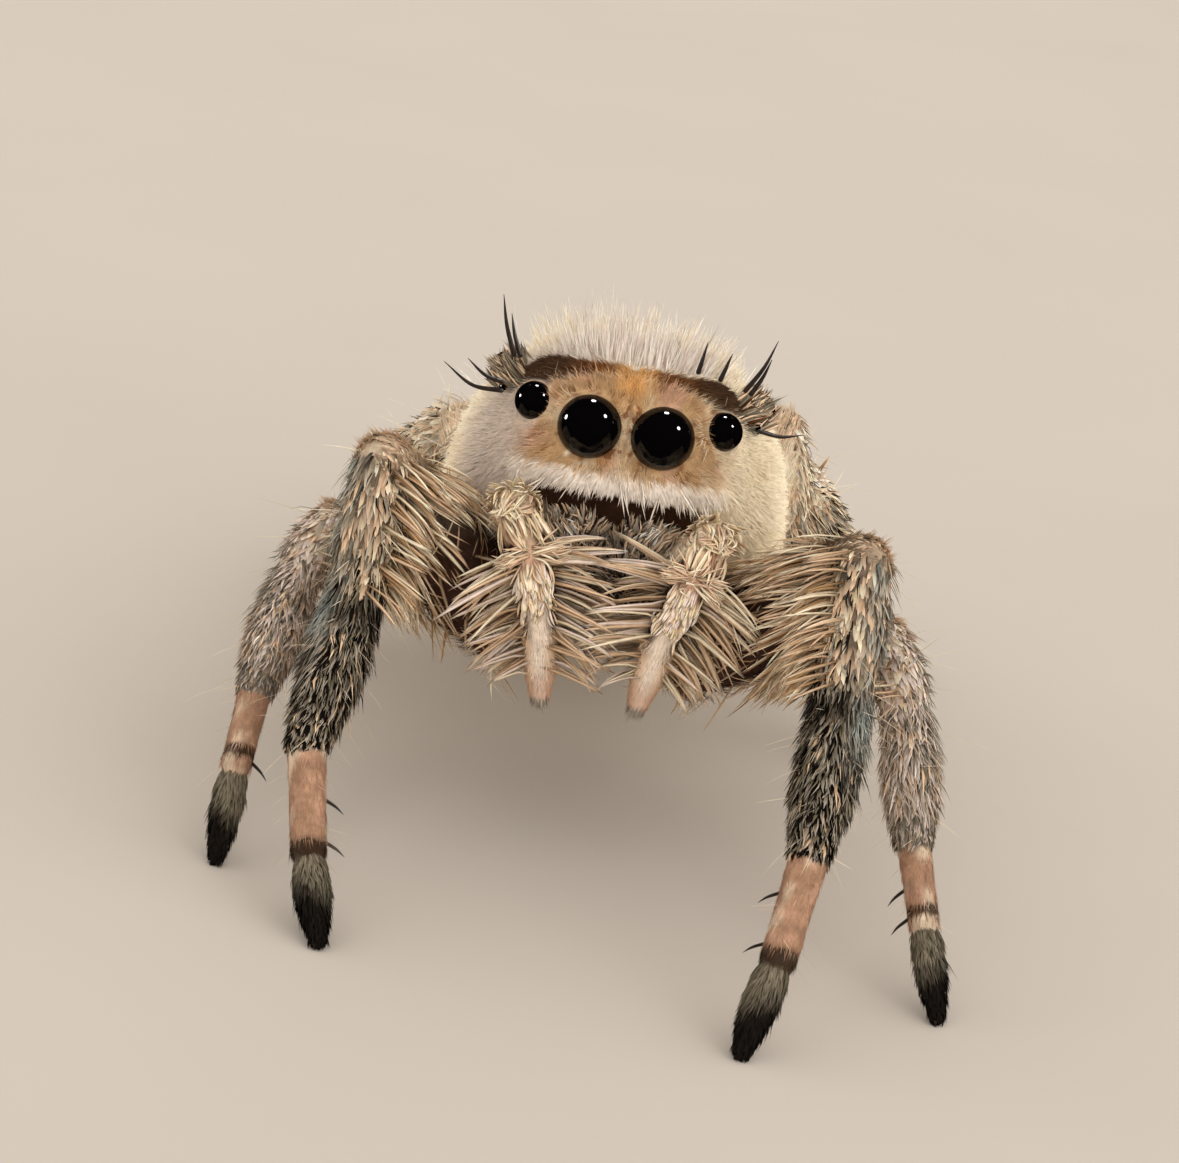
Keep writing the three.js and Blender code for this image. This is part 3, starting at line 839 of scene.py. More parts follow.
# Pairs of white spots on the abdomen: mm behind its front, to either side, and radius.
ABDOMEN_SPOTS = ((2.6, 0.95, 0.42), (3.9, 0.8, 0.36), (5.0, 0.6, 0.26))
WEDGE = (2.9, 4.5)          # mm behind the front where the white triangle's tip and base are
WEDGE_TIP, WEDGE_SPREAD = 0.12, 0.32    # its half width at the tip, and what that gains for each mm


def paint_abdomen(s):
    """Cream, with a white band in front, a white triangle and pairs of white spots edged in brown."""
    side, along, up = np.moveaxis(s.local, -1, 0)
    coat = blend(tone("cream"), tone("cream") * (0.86, 0.8, 0.72), step(-0.4, 0.9, mottle(s.local, 1.6, 21)))
    over = step(0.2, 0.9, up)
    spots = np.zeros(len(side))
    for place, across, reach in ABDOMEN_SPOTS:
        away = np.hypot(np.abs(side) - across, (along - place) * 0.8) / reach
        spots = np.maximum(spots, 1 - away)
    tip, base = WEDGE
    wedge = 1 - np.abs(side) / np.maximum(WEDGE_TIP + (along - tip) * WEDGE_SPREAD, 1e-3)
    wedge = np.where((along > tip) & (along < base), np.minimum(wedge, (base - along) * 2), -1)
    white = np.maximum(step(-0.05, 0.2, spots), step(0.0, 0.4, wedge))
    edge = np.maximum(step(-0.9, -0.1, spots), step(-1.2, 0.1, wedge))
    coat = blend(coat, tone("tan") * 0.55, 0.5 * edge * over)
    coat = blend(coat, tone("pale"), white * over)
    return blend(coat, tone("pale"), 0.7 * step(1.3, 0.7, along) * step(0.0, 0.6, up))


def paint_palp(s, segment):
    """Cream and pinkish, dark red-brown at the sides of the tibia, with a grey tip."""
    front = bump(np.pi / 2, 0.9, s.turn)
    if segment == "femur":
        return blend(tone("peach"), tone("cream"), 0.5 + 0.5 * front)
    if segment == "tibia":
        knuckle = step(0.36, 0.3, s.share)
        coat = blend(tone("maroon") * 0.6, tone("beige"), np.maximum(front, knuckle))
        coat = blend(coat, blend(tone("cream"), tone("mauve"), 0.6), step(0.6, 0.75, s.share) * front)
        return blend(coat, tone("pink") * 1.1, 0.8 * bump(0.47, 0.12, s.share) * front)
    coat = blend(tone("beige"), blend(tone("cream"), tone("mauve"), 0.6), front)
    coat = blend(coat, tone("pink"), 0.5 * step(0.35, 0.7, s.share))
    return blend(coat, tone("grey") * 0.75, step(0.8, 0.88, s.share))


SEEN_SLOPE = 0.36           # tangent of the 20 degrees from which the hollow is seen


def seen_height(points):
    """How high points show over the floor, seen from ahead and 20 degrees above."""
    return points[:, 2] + SEEN_SLOPE * points[:, 1]


def shaded_hollow_weight(points):
    """1 in the hollow between palps and front legs, where painted shade darkens the skin under thin hair."""
    side, back = points[:, 0], points[:, 1]
    return step(3.1, 2.4, np.abs(side)) * step(4.8, 4.3, seen_height(points)) * step(3.0, 2.3, back)


def shaded_hollow_front(s):
    """The same painted shade on the front body, where the hollow ends 0.3 mm lower."""
    return shaded_hollow_weight(s.point + (0, 0, 0.3))


def under_fringe(points):
    """1 on the lower part of the first legs' thighs and beside it, where long strands grow ahead and painted
    shade lies under them on the first legs.
    """
    side, back = points[:, 0], points[:, 1]
    return step(5.5, 5.1, seen_height(points)) * step(3.6, 3.0, np.abs(side)) * step(2.8, 2.2, back)


def thin_veil(points):
    """Share of the strands that grow over the hollow: few in its lower part, next to the palps."""
    low = 4.7 - 0.2 * np.sign(points[:, 0])
    return 1 - 0.95 * step(2.8, 2.3, np.abs(points[:, 0])) * step(low + 0.2, low - 0.2, seen_height(points))


KNEE_JOINT = 0.5            # share of the shin's run at which the patella ends


def paint_leg(s, segment, pair):
    """Cream thighs and knees, dark shins, bare pinkish metatarsi with a dark ring, and black feet."""
    outer = bump(0.0, 1.5, (s.turn + np.pi) % (2 * np.pi) - np.pi)
    if segment == "femur":
        coat = blend(tone("beige"), tone("cream"), 0.4 + 0.6 * step(-0.3, 0.6, mottle(s.point, 0.8, 31)))
        coat = blend(coat, tone("beige") * 0.75, 0.7 * step(0.8, 0.95, s.share))
        # Painted shade on the first legs' lower thighs, under the long strands.
        coat = blend(coat, tone("brow") * 1.3, 0.75 * under_fringe(s.point) * (pair == 1))
        # Painted shade: dark maroon in the hollow beside the palps.
        return blend(coat, tone("maroon") * 1.2, 0.85 * shaded_hollow_weight(s.point))
    if segment == "tibia":
        patella = blend(tone("peach"), tone("cream"), step(-0.5, 0.5, mottle(s.point, 0.5, 32)))
        patella = blend(patella, tone("grey"), 0.75 * outer)
        patella = blend(patella, tone("brow") * 1.3, 0.6 * step(-0.2, 0.5, -np.cos(s.turn)) * (pair == 1))
        shin = tone("black") if pair == 1 else tone("grey") * 0.7
        return blend(patella, shin, step(KNEE_JOINT - 0.07, KNEE_JOINT - 0.02, s.share))
    if segment == "metatarsus":
        coat = blend(tone("flesh"), tone("cream"), 0.5 * step(0.0, 0.8, mottle(s.point, 0.45, 33)))
        coat = blend(coat, tone("pink"), 0.5 * step(0.3, 0.9, mottle(s.point, 0.3, 34)))
        ring = bump(0.9 if pair == 1 else 0.8, 0.085, s.share)
        return blend(coat, tone("brow") * 0.5, np.minimum(1.5 * ring, 0.95))
    return blend(tone("olive"), tone("black"), step(0.25, 0.6, s.share + 0.1 * np.cos(s.turn)))


def paint(name, s):
    """The markings of any part of the body, the same for its skin and its coat."""
    if name == "front_body":
        return paint_front(s)
    if name == "abdomen":
        return paint_abdomen(s)
    segment = name.split("_")[-1]
    if name.startswith("palp"):
        return paint_palp(s, segment)
    if name.startswith("leg"):
        return paint_leg(s, segment, int(name[4]))
    return tone("rust") + np.zeros((len(s.share), 3))


# ---------------------------------------------------------------- finishes

def add(tree, kind, inputs=(), **settings):
    """A node with its settings, its sockets' values, and links from other nodes' sockets."""
    node = tree.nodes.new(kind)
    for key, value in settings.items():
        setattr(node, key, value)
    for key, value in dict(inputs).items():
        if isinstance(value, bpy.types.NodeSocket):
            tree.links.new(value, node.inputs[key])
        else:
            node.inputs[key].default_value = value
    return node


def start_material(name):
    """An empty material, its nodes and the object's own coordinates."""
    material = bpy.data.materials.new(name)
    material.use_nodes = True
    tree = material.node_tree
    tree.nodes.clear()
    place = add(tree, "ShaderNodeTexCoord").outputs["Object"]
    return material, tree, place


def finish_material(tree, sockets):
    """The surface shader and the output."""
    shader = add(tree, "ShaderNodeBsdfPrincipled", sockets)
    add(tree, "ShaderNodeOutputMaterial", {"Surface": shader.outputs[0]})


def markings(tree):
    """The colour that each point of a mesh carries."""
    return add(tree, "ShaderNodeAttribute", attribute_name="Markings").outputs["Color"]


def noise(tree, place, size, detail):
    """A noise pattern whose features are size mm across."""
    sockets = {"Vector": place, "Scale": 1000 / size, "Detail": detail}
    return add(tree, "ShaderNodeTexNoise", sockets).outputs[0]


def varied(tree, place, colour, size, darkest, lightest):
    """A colour multiplied by a noise pattern that runs from darkest to lightest."""
    pattern = noise(tree, place, size, 3.0)
    shade = add(tree, "ShaderNodeMapRange", {"Value": pattern, "From Min": 0.3, "From Max": 0.7,
                                             "To Min": darkest, "To Max": lightest})
    scale = add(tree, "ShaderNodeVectorMath", {0: colour, "Scale": shade.outputs[0]}, operation="SCALE")
    return scale.outputs[0]


def two_tones(tree, pattern, dark, light):
    """Colours from dark to light, in linear red, green and blue, by a pattern."""
    ramp = add(tree, "ShaderNodeValToRGB", {"Fac": pattern})
    for element, colour in zip(ramp.color_ramp.elements, (dark, light)):
        element.color = (*colour, 1)
    return ramp.outputs[0]


def relief(tree, pattern, strength, depth):
    """Fine relief by a pattern, depth metres deep."""
    sockets = {"Height": pattern, "Strength": strength, "Distance": depth}
    return add(tree, "ShaderNodeBump", sockets).outputs[0]


def setae(name):
    """Chitin bristles as fine as fur: dull, each a little darker or lighter along its shaft."""
    material, tree, place = start_material(name)
    colour = varied(tree, place, markings(tree), 0.12, 0.88, 1.12)
    finish_material(tree, {"Base Color": colour, "Roughness": 0.9, "Specular IOR Level": 0.04})
    return material


def cuticle(name):
    """Soft, finely wrinkled skin of chitin: satin, with mottled pigment."""
    material, tree, place = start_material(name)
    colour = varied(tree, place, markings(tree), 0.16, 0.7, 1.25)
    wrinkles = relief(tree, noise(tree, place, 0.06, 4.0), 0.7, 0.00003)
    finish_material(tree, {"Base Color": colour, "Roughness": 0.75, "Specular IOR Level": 0.12,
                           "Normal": wrinkles})
    return material


def cornea(name):
    """The lens of a simple eye: clear hard chitin over black pigment, as glossy as wet glass."""
    material, tree, place = start_material(name)
    colour = markings(tree)
    film = noise(tree, place, 0.3, 2.0)
    gloss = add(tree, "ShaderNodeMapRange", {"Value": film, "To Min": 0.03, "To Max": 0.07})
    finish_material(tree, {"Base Color": colour, "Roughness": gloss.outputs[0], "IOR": 1.38})
    return material


def hard_chitin(name, code, grain, roughness):
    """Hard tanned chitin, dark and finely grained: satin on the jaws, glossy on fangs and spines."""
    material, tree, place = start_material(name)
    colour = np.array(linear(code))
    pattern = noise(tree, place, grain, 4.0)
    tones = two_tones(tree, pattern, colour * 0.45, np.clip(colour * 1.7, 0, 1))
    grooves = relief(tree, pattern, 0.4, 0.00002)
    finish_material(tree, {"Base Color": tones, "Roughness": roughness, "Normal": grooves})
    return material


def floor_board(name):
    """Matt off-white card: a faint warm mottle."""
    material, tree, place = start_material(name)
    tones = two_tones(tree, noise(tree, place, 9.0, 3.0), linear("#C6BCB0"), linear("#CDC3B8"))
    finish_material(tree, {"Base Color": tones, "Roughness": 0.9, "Specular IOR Level": 0.0})
    return material


def material_named(name, make, *settings):
    """A finish made once and shared by its pieces."""
    return bpy.data.materials.get(name) or make(name, *settings)


# ---------------------------------------------------------------- what a user would change

def colour_property(code, words):
    return FloatVectorProperty(name=words.capitalize(), description=f"Colour: {words}", subtype="COLOR",
                               size=3, min=0.0, max=1.0, default=linear(code))


class SpiderColours(PropertyGroup):
    __annotations__ = {name: colour_property(code, words) for name, (code, words) in PALETTE.items()}


class SpiderCoat(PropertyGroup):
    face: FloatProperty(name="Face hair", description="Length of the hair between the eyes",
                        default=0.00016, min=0.00005, max=0.0004, unit="LENGTH")
    body: FloatProperty(name="Body hair", description="Length of the hair on head, thorax and abdomen",
                        default=0.00042, min=0.0001, max=0.0009, unit="LENGTH")
    fringe: FloatProperty(name="Palp fringe", description="Length of the long bristles beside the palps",
                          default=0.00078, min=0.0002, max=0.0012, unit="LENGTH")
    leg: FloatProperty(name="Leg hair", description="Length of the hair on thighs and shins",
                       default=0.00036, min=0.0001, max=0.0008, unit="LENGTH")
    amount: FloatProperty(name="Amount", description="How many hairs there are, as a share of the full coat",
                          default=1.0, min=0.05, max=1.0, subtype="FACTOR")


class SpiderStage(PropertyGroup):
    elevation: FloatProperty(name="Elevation", description="Camera's height over the horizon",
                             default=math.radians(20.0), subtype="ANGLE")
    roll: FloatProperty(name="Roll", description="Camera's turn about its line of sight",
                        default=math.radians(9.5), subtype="ANGLE")
    distance: FloatProperty(name="Distance", description="From the camera to the eyes",
                            default=0.05, min=0.02, unit="LENGTH")
    lens: FloatProperty(name="Focal length", description="Of a camera with a 36 mm sensor, in mm",
                        default=118.2, min=20.0, subtype="DISTANCE_CAMERA")
    brightness: FloatProperty(name="Brightness", description="Strength of all the lights",
                              default=1.0, min=0.0, subtype="FACTOR", soft_max=2.0)


def hair_length(name):
    """A hair length of the panel, in mm."""
    return getattr(bpy.context.scene.spider_coat, name) * 1000


def number(count):
    """How many hairs the panel's amount leaves of a full count."""
    return max(8, int(count * bpy.context.scene.spider_coat.amount))


# ---------------------------------------------------------------- skin

VOXEL = 0.068               # mm, grid on which the parts are joined into one skin
RELAX, RELAX_ROUNDS = 0.5, 3
# Rings and sides of the surfaces that are joined.
FRONT_GRID, REAR_GRID, LIMB_GRID = (46, 64), (60, 72), (44, 24)
# An eye's mound: root and crest behind the lens's middle and their radii, beside the lens's radius.
MOUND_ROOT, MOUND_CREST = 1.6, 0.25
MOUND_GIRTH = (1.35, 1.12)


def eye_mounds():
    """Low rounded mounds that carry all the eyes but the two biggest."""
    for name, centre, radius, sight in eye_spots():
        if not name.startswith("eye_front_middle"):
            root = centre - sight * radius * MOUND_ROOT
            crest = centre - sight * radius * MOUND_CREST
            yield Limb([root, crest], [radius * girth for girth in MOUND_GIRTH], (0, 1, 0.3), 1)


def mesh_arrays(mesh):
    """A mesh's points, and its faces with four corners and with three."""
    points = np.empty(len(mesh.vertices) * 3, np.float32)
    mesh.vertices.foreach_get("co", points)
    corners = np.empty(len(mesh.loops), np.int32)
    mesh.loops.foreach_get("vertex_index", corners)
    totals = np.empty(len(mesh.polygons), np.int32)
    mesh.polygons.foreach_get("loop_total", totals)
    starts = np.concatenate([[0], np.cumsum(totals)[:-1]])
    faces = [corners[starts[totals == size][:, None] + np.arange(size)] for size in (4, 3)]
    return points.reshape(-1, 3).astype(float), faces


def joined_skin():
    """All the parts as one closed surface: tubes and shells, joined on a fine grid and relaxed."""
    limbs = [part for part in PARTS.values() if isinstance(part, Limb)] + list(eye_mounds())
    lots = [surface(FRONT.place, *FRONT_GRID), surface(REAR.place, *REAR_GRID)]
    points, faces = merged(lots + [surface(part.place, *LIMB_GRID) for part in limbs])
    mesh = bpy.data.meshes.new("skin_parts")
    fill_mesh(mesh, points, faces)
    piece = bpy.data.objects.new("skin_parts", mesh)
    bpy.context.scene.collection.objects.link(piece)
    piece.modifiers.new("join", "REMESH").mode = "VOXEL"
    piece.modifiers["join"].voxel_size = VOXEL
    relax = piece.modifiers.new("relax", "SMOOTH")
    relax.factor, relax.iterations = RELAX, RELAX_ROUNDS
    done = bpy.data.meshes.new_from_object(piece.evaluated_get(bpy.context.evaluated_depsgraph_get()))
    arrays = mesh_arrays(done)
    bpy.data.objects.remove(piece)
    bpy.data.meshes.remove(mesh)
    bpy.data.meshes.remove(done)
    return arrays


# Painted shade on the skin under the hair: how bright the skin is kept beside its hair, and how much lighter
# that shade is under the shins of legs 2 to 4.
SHADE_UNDER_HAIR = {"body": 0.86, "palp": 0.9, "leg_femur": 0.8, "leg_tibia": 0.25, "leg_metatarsus": 0.95,
             "leg_tarsus": 0.6}
LIGHTER_SHIN_SHADE = 2.6


def shade_under_hair(name):
    """The painted shade under a part's hair: the share of its markings' brightness that the skin keeps."""
    words = name.split("_")
    kind = {"palp": "palp", "leg": f"leg_{words[-1]}"}.get(words[0], "body")
    return SHADE_UNDER_HAIR[kind] * (LIGHTER_SHIN_SHADE if kind == "leg_tibia" and name[4] != "1" else 1.0)


def skin_colours(points):
    """Each point of the skin has the markings of the part that it lies deepest in, darkened by the painted
    shade under that part's hair.
    """
    depth = np.full(len(points), 1e9)
    colours = np.zeros((len(points), 3))
    for name, part in PARTS.items():
        share, turn, away = part.locate(points)
        chosen = away < depth
        local = part.local(points) if isinstance(part, Shell) else points
        s = SimpleNamespace(part=part, share=share[chosen], turn=turn[chosen], point=points[chosen],
                            local=local[chosen])
        # Painted shade under the hair darkens the markings.
        colours[chosen] = paint(name, s) * shade_under_hair(name)
        depth[chosen] = away[chosen]
    return np.clip(colours, 0, 1)


FLESH_NODES = ["head", "thorax", "abdomen", "waist", "spinneret_right", "spinneret_left"]
FLESH_NODES += [name for name in PARTS if name.startswith(("palp", "leg"))]


class SPIDER_OT_skin(Operator):
    """Make the skin: one seamless surface for body, palps and legs"""
    bl_idname = "spider.skin"
    bl_label = "Skin"

    def execute(self, context):
        points, faces = joined_skin()
        skin = make_piece("skin", points, faces, material_named("chitin_skin", cuticle), "skin",
                          skin_colours(points))
        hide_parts(*FLESH_NODES)
        return {"FINISHED"}


# ---------------------------------------------------------------- eyes, jaws and fangs

LENS_GRID, JAW_GRID, FANG_GRID = (38, 56), (40, 40), (30, 20)
LENS_BLACK, LENS_RIM = "#050405", "#2E130E"
JAW_GIRTH = (0.42, 0.46, 0.48, 0.42, 0.3)
FANG_GIRTH = (0.16, 0.15, 0.1, 0.03)
JAW_BOW = (0, -0.1, 0)      # how far the middle of a jaw stands ahead of a straight line


def turned_about(origin, axis, profile):
    """A profile of (distance along the axis, radius), as a function of share, turned about an axis."""
    helper = UP if abs(axis[2]) < 0.9 else np.array([1.0, 0, 0])
    wide = unit(np.cross(axis, helper))
    high = np.cross(wide, axis)

    def place(share, turn):
        along, radius = profile(share)
        spoke = wide * np.cos(turn)[:, None] + high * np.sin(turn)[:, None]
        return origin + axis * along[:, None] + spoke * radius[:, None]
    return place


def lens_profile(radius):
    """A round lens whose rear half is drawn in to a collar where it meets the skin.

    Along is the radius times the cosine of the angle, out is the radius times its sine and the collar.
    """
    def profile(share):
        angle = share * np.pi
        collar = 1 - 0.12 * step(1.65, 2.1, angle)
        return radius * np.cos(angle), radius * collar * np.sin(angle)
    return profile


class SPIDER_OT_eyes(Operator):
    """Make the eight eyes"""
    bl_idname = "spider.eyes"
    bl_label = "Eyes"

    def execute(self, context):
        material = material_named("polished_lens", cornea)
        for name, centre, radius, sight in eye_spots():
            points, faces = surface(turned_about(centre, sight, lens_profile(radius)), *LENS_GRID)
            ahead = (points - centre) @ sight / radius
            colours = blend(linear(LENS_BLACK), linear(LENS_RIM), 0.8 * step(0.36, 0.1, ahead))
            piece = make_piece(f"{name}_lens", points, faces, material, "eye", colours)
            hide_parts(name)
        return {"FINISHED"}


def jaw_limb(side):
    """The stout upper segment of a jaw."""
    top, foot = mirrored(side, JAW_TOP), mirrored(side, JAW_FOOT)
    return Limb([top, (top + foot) / 2 + JAW_BOW, foot], JAW_GIRTH, (side, 0, 0), side)


def fang_limb(side):
    """The curved claw under a jaw, which points to the midline."""
    foot, tip = mirrored(side, JAW_FOOT), mirrored(side, FANG_TIP)
    bend = (foot + tip) / 2 + (side * 0.1, 0.05, -0.08)
    return Limb([foot, bend, tip], FANG_GIRTH, (side, 0, 0), side)


class SPIDER_OT_jaws(Operator):
    """Make the jaws and fangs under the face"""
    bl_idname = "spider.jaws"
    bl_label = "Jaws"

    def execute(self, context):
        jaw_finish = material_named("glossy_jaw", hard_chitin, "#38221B", 0.14, 0.7)
        fang_finish = material_named("fang_horn", hard_chitin, "#2A130D", 0.1, 0.22)
        for word, side in SIDES.items():
            shell = surface(jaw_limb(side).place, *JAW_GRID)
            piece = make_piece(f"jaw_{word}_shell", *shell, jaw_finish, "jaw")
            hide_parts(f"jaw_{word}")
            horn = surface(fang_limb(side).place, *FANG_GRID)
            piece = make_piece(f"fang_{word}_horn", *horn, fang_finish, "fang")
            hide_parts(f"fang_{word}")
        return {"FINISHED"}


# ---------------------------------------------------------------- coats

def painted(name):
    """A tint setting: the markings of a part, as they are on its skin."""
    return lambda s, rng: paint(name, s)


def drawn(brightness=1.0, **shares):
    """A tint setting: one of the named colours for each hair, drawn by their shares."""
    return lambda s, rng: choose(rng, len(s.share), **shares) * brightness


def outwards(s):
    """Away from the midline, to the side on which a spot lies."""
    return np.sign(s.point[:, :1]) * np.array([[1.0, 0, 0]])


def inwards(s):
    """Lie of the strands between legs and palps: towards the midline and a little down."""
    return -outwards(s) - 0.35 * UP


def away_from_eyes(s):
    """Lie of the face's hair: out from its middle, and square to the rim close to an eye."""
    way = s.along * 1.0
    for _, centre, radius, _ in eye_spots():
        gap = s.point - centre
        far = np.linalg.norm(gap, axis=-1, keepdims=True)
        way = way + 2.0 * step(radius + 0.2, radius, far) * gap / far
    return way


def beside_brow(s):
    """1 at the upper outer corners of the face, beside the side eyes."""
    out, height = np.abs(s.local[:, 0]), face_height(s.local)
    return step(1.38, 1.5, out) * step(0.35, 0.5, height) * step(1.9, 1.5, s.local[:, 1])


def jaw_front(s):
    """1 on the front of a jaw, away from its root and its foot."""
    return step(0.06, 0.3, s.share) * step(0.85, 0.6, s.share) * step(0.1, -0.5, s.normal[:, 1])


STRAND_MIX = dict(beige=6, cream=3, tan=2)      # strands that hang between legs and palps


class SPIDER_OT_face_coat(Operator):
    """Grow the short coat between the eyes, the brow and the white fringe over the mouth"""
    bl_idname = "spider.face_coat"
    bl_label = "Face coat"

    def execute(self, context):
        tint = painted("front_body")
        face = grow(FRONT, 15000, 11, length=hair_length("face"), width=0.024, lift=(16, 4), rings=1,
                    where=lambda s: face_weight(s.local) * (1 - clypeus_weight(s.local)), tint=tint,
                    lie=away_from_eyes, sway=16, root_shade=0.85, tip_shade=1.06, vary=0.1,
                    eyes_clear=True)
        fringe = grow(FRONT, 3600, 12, length=0.2, width=0.022, lift=(22, 8), rings=2, tint=tint,
                      where=lambda s: clypeus_weight(s.local), lie=lambda s: s.along - 0.5 * UP,
                      lock=7, pull=0.5, droop=0.3, sway=16, root_shade=0.97, tip_shade=1.03, vary=0.04,
                      eyes_clear=True)
        stray = grow(FRONT, 26, 14, length=0.42, width=0.026, lift=(44, 20), rings=4, tint=tint,
                     where=lambda s: clypeus_weight(s.local) * (s.local[:, 2] < -0.58),
                     lie=lambda s: s.along - 0.5 * UP + np.sin(9 * s.point[:, :1]) * (0.9, 0, 0),
                     droop=0.2, sway=22, root_shade=0.8, vary=0.15)
        brow = grow(FRONT, 3600, 13, length=0.15, width=0.026, lift=(34, 20), rings=2, tint=tint,
                    where=lambda s: brow_weight(s.local), lie=lambda s: s.along + 1.4 * outwards(s),
                    lock=6, pull=0.4, sway=14, root_shade=0.85, vary=0.15, eyes_clear=True)
        corner = grow(FRONT, 1500, 15, length=0.36, width=0.03, lift=(52, 40), where=beside_brow,
                      lie=lambda s: s.along + 0.7 * UP + 0.4 * outwards(s), lock=8, pull=0.7, sway=14,
                      tint=drawn(olive=5, rust=0.5, brow=3, beige=2), vary=0.15, eyes_clear=True)
        make_coat("face_coat", "face_coat", [face, fringe, stray, brow, corner])
        jaws = [grow(jaw_limb(side), 900, 16 + side, length=0.24, width=0.032, lift=(50, 30), rings=2,
                     where=jaw_front, lie=lambda s: UP + 0.6 * outwards(s), lock=4, pull=0.7, sway=30,
                     tint=drawn(olive=3, grey=3, pale=1, beige=5), vary=0.15,
                     tile=(0.25 + 0.25 * side, 0, 0.5, 1))
                for side in SIDES.values()]
        make_coat("jaw_coat", "face_coat", jaws)
        return {"FINISHED"}


def behind_face(s):
    """1 on head, cheeks and thorax, 0 on the face, the brow and the white band, little at the mouth."""
    mask = np.maximum(np.maximum(face_weight(s.local), brow_weight(s.local)), clypeus_weight(s.local))
    return (1 - mask) * (1 - 0.93 * mouth_shade_weight(s.local))


def crown_tint(s, rng):
    """Pinkish white over the brow, cream behind."""
    white = choose(rng, len(s.share), mauve=4, pale=3, blush=1) * 0.87
    return blend(white, tone("cream"), step(0.8, 2.2, s.local[:, 1]))


HEAD_END = 2.5              # mm behind the eyes where the head's coat meets the thorax's


class SPIDER_OT_body_coat(Operator):
    """Grow the cream coat of head and thorax"""
    bl_idname = "spider.body_coat"
    bl_label = "Head and thorax coat"

    def execute(self, context):
        long = hair_length("body")
        short = dict(tint=painted("front_body"), rings=1, root_shade=0.9, vary=0.06)
        cheek = grow(FRONT, 15000, 20, length=0.19, width=0.024, lift=(18, 4), sway=14, tip_shade=1.05,
                     where=lambda s: behind_face(s) * (s.local[:, 1] < 1.3), eyes_clear=True, **short)
        short.update(lift=(20, 20), lock=8, pull=0.5, sway=12)
        head = grow(FRONT, 14000, 21, length=lambda s: long * (0.55 + 0.3 * step(0.8, 1.8, s.local[:, 1])),
                    where=lambda s: behind_face(s) * (s.local[:, 1] < HEAD_END) * step(
                        0.8, 1.3, s.local[:, 1]),
                    width=0.026, eyes_clear=True, **short)
        white = dict(where=lambda s: crown_weight(s.local) * (s.local[:, 1] < HEAD_END + 0.1), width=0.02,
                     lift=(lambda s: 68 - 30 * step(1.2, 2.4, s.local[:, 1]), 80), tint=crown_tint,
                     root_shade=0.92, tip_shade=1.05, vary=0.06)
        dense = grow(FRONT, 2000, 22, length=0.32, rings=2, sway=24, **white)
        erect = grow(FRONT, 240, 24, length=0.64, rings=4, sway=30, ragged=0.16, lock=3, **white)
        make_coat("head_coat", "face_coat", [cheek, head, dense, erect])
        thorax = grow(FRONT, 26000, 23, length=long * 0.85, width=0.027,
                      where=lambda s: behind_face(s) * (s.local[:, 1] >= HEAD_END), **short)
        veil = grow(FRONT, 700, 25, length=0.7, width=0.042, lift=(36, 20), rings=4, ragged=0.2, sway=18,
                    where=lambda s: shaded_hollow_front(s) * thin_veil(s.point) * (s.normal[:, 1] < 0.3),
                    tint=drawn(**STRAND_MIX), droop=0.35, lie=inwards, root_shade=0.35)
        make_coat("thorax_coat", "body_coat", [thorax, veil])
        return {"FINISHED"}


class SPIDER_OT_abdomen_coat(Operator):
    """Grow the coat of the abdomen and the spinnerets"""
    bl_idname = "spider.abdomen_coat"
    bl_label = "Abdomen coat"

    def execute(self, context):
        long = hair_length("body")
        halves = {"front": lambda s: 1.0 * (s.share < 0.5), "rear": lambda s: 1.0 * (s.share >= 0.5)}
        for seed, (word, where) in enumerate(halves.items(), 31):
            coat = grow(REAR, 13000, seed, length=long, width=0.036, lift=(24, 8), rings=2, where=where,
                        tint=painted("abdomen"), lock=8, pull=0.5, sway=11, root_shade=0.86, vary=0.07)
            erect = grow(REAR, 160, seed + 10, length=0.6, width=0.02, lift=(66, 60), rings=4, where=where,
                         tint=lambda s, rng: tone("pale") + np.zeros((len(s.share), 3)), sway=30)
            tufts = [coat, erect]
            for name in ("spinneret_right", "spinneret_left") if word == "rear" else ():
                tufts.append(grow(PARTS[name], 260, 37, length=0.16, width=0.025, lift=(24, 8), rings=2,
                                  tint=painted(name)))
            make_coat(f"abdomen_coat_{word}", "abdomen_coat", tufts)
        return {"FINISHED"}


def hair_on(name, tile, share=1.0):
    """The growing of hair on one named part, with its place on the bake map and a share of each count."""
    return lambda count, seed, **settings: grow(PARTS[name], count * share, seed, tile=tile, **settings)


def off_front(s):
    """How far round a palp a spot lies from its front: 0 there, 1 at either side and behind."""
    return step(0.25, 0.8, np.abs((s.turn - np.pi / 2 + np.pi) % (2 * np.pi) - np.pi) / (np.pi / 2))


def on_front(s):
    """1 on the front of a palp, 0 at its sides and behind."""
    return 1 - off_front(s)


def fan(upper, lower):
    """A lie that goes out to the side of a palp and down it, by so much at its upper and lower end."""
    def lie(s):
        out = np.sign(np.cos(s.turn))[:, None] * s.part.axes(s.share)[1]
        return out + s.along * (upper + (lower - upper) * s.share)[:, None]
    return lie


def fan_lift(front, side):
    """Lift that stands a bristle out more at the sides of a palp than on its front."""
    return lambda s: front + (side - front) * np.abs(np.cos(s.turn))


BRISTLES = dict(rings=5, tip_shade=1.04, vary=0.07, ragged=0.1)
# Three bristles that close up just above their roots and run on as one thick strand.
STRANDS = dict(BRISTLES, lock=3, pull=0.96, close=0.35, sway=8, root_shade=0.45,
               tint=drawn(beige=6, cream=3, mauve=2))
SOFT = dict(lift=(12, 12), rings=1, root_shade=0.97, tip_shade=1.03, vary=0.05)
KNUCKLE = dict(BRISTLES, pull=0.7, root_shade=0.72)     # short thick locks over a palp's joints


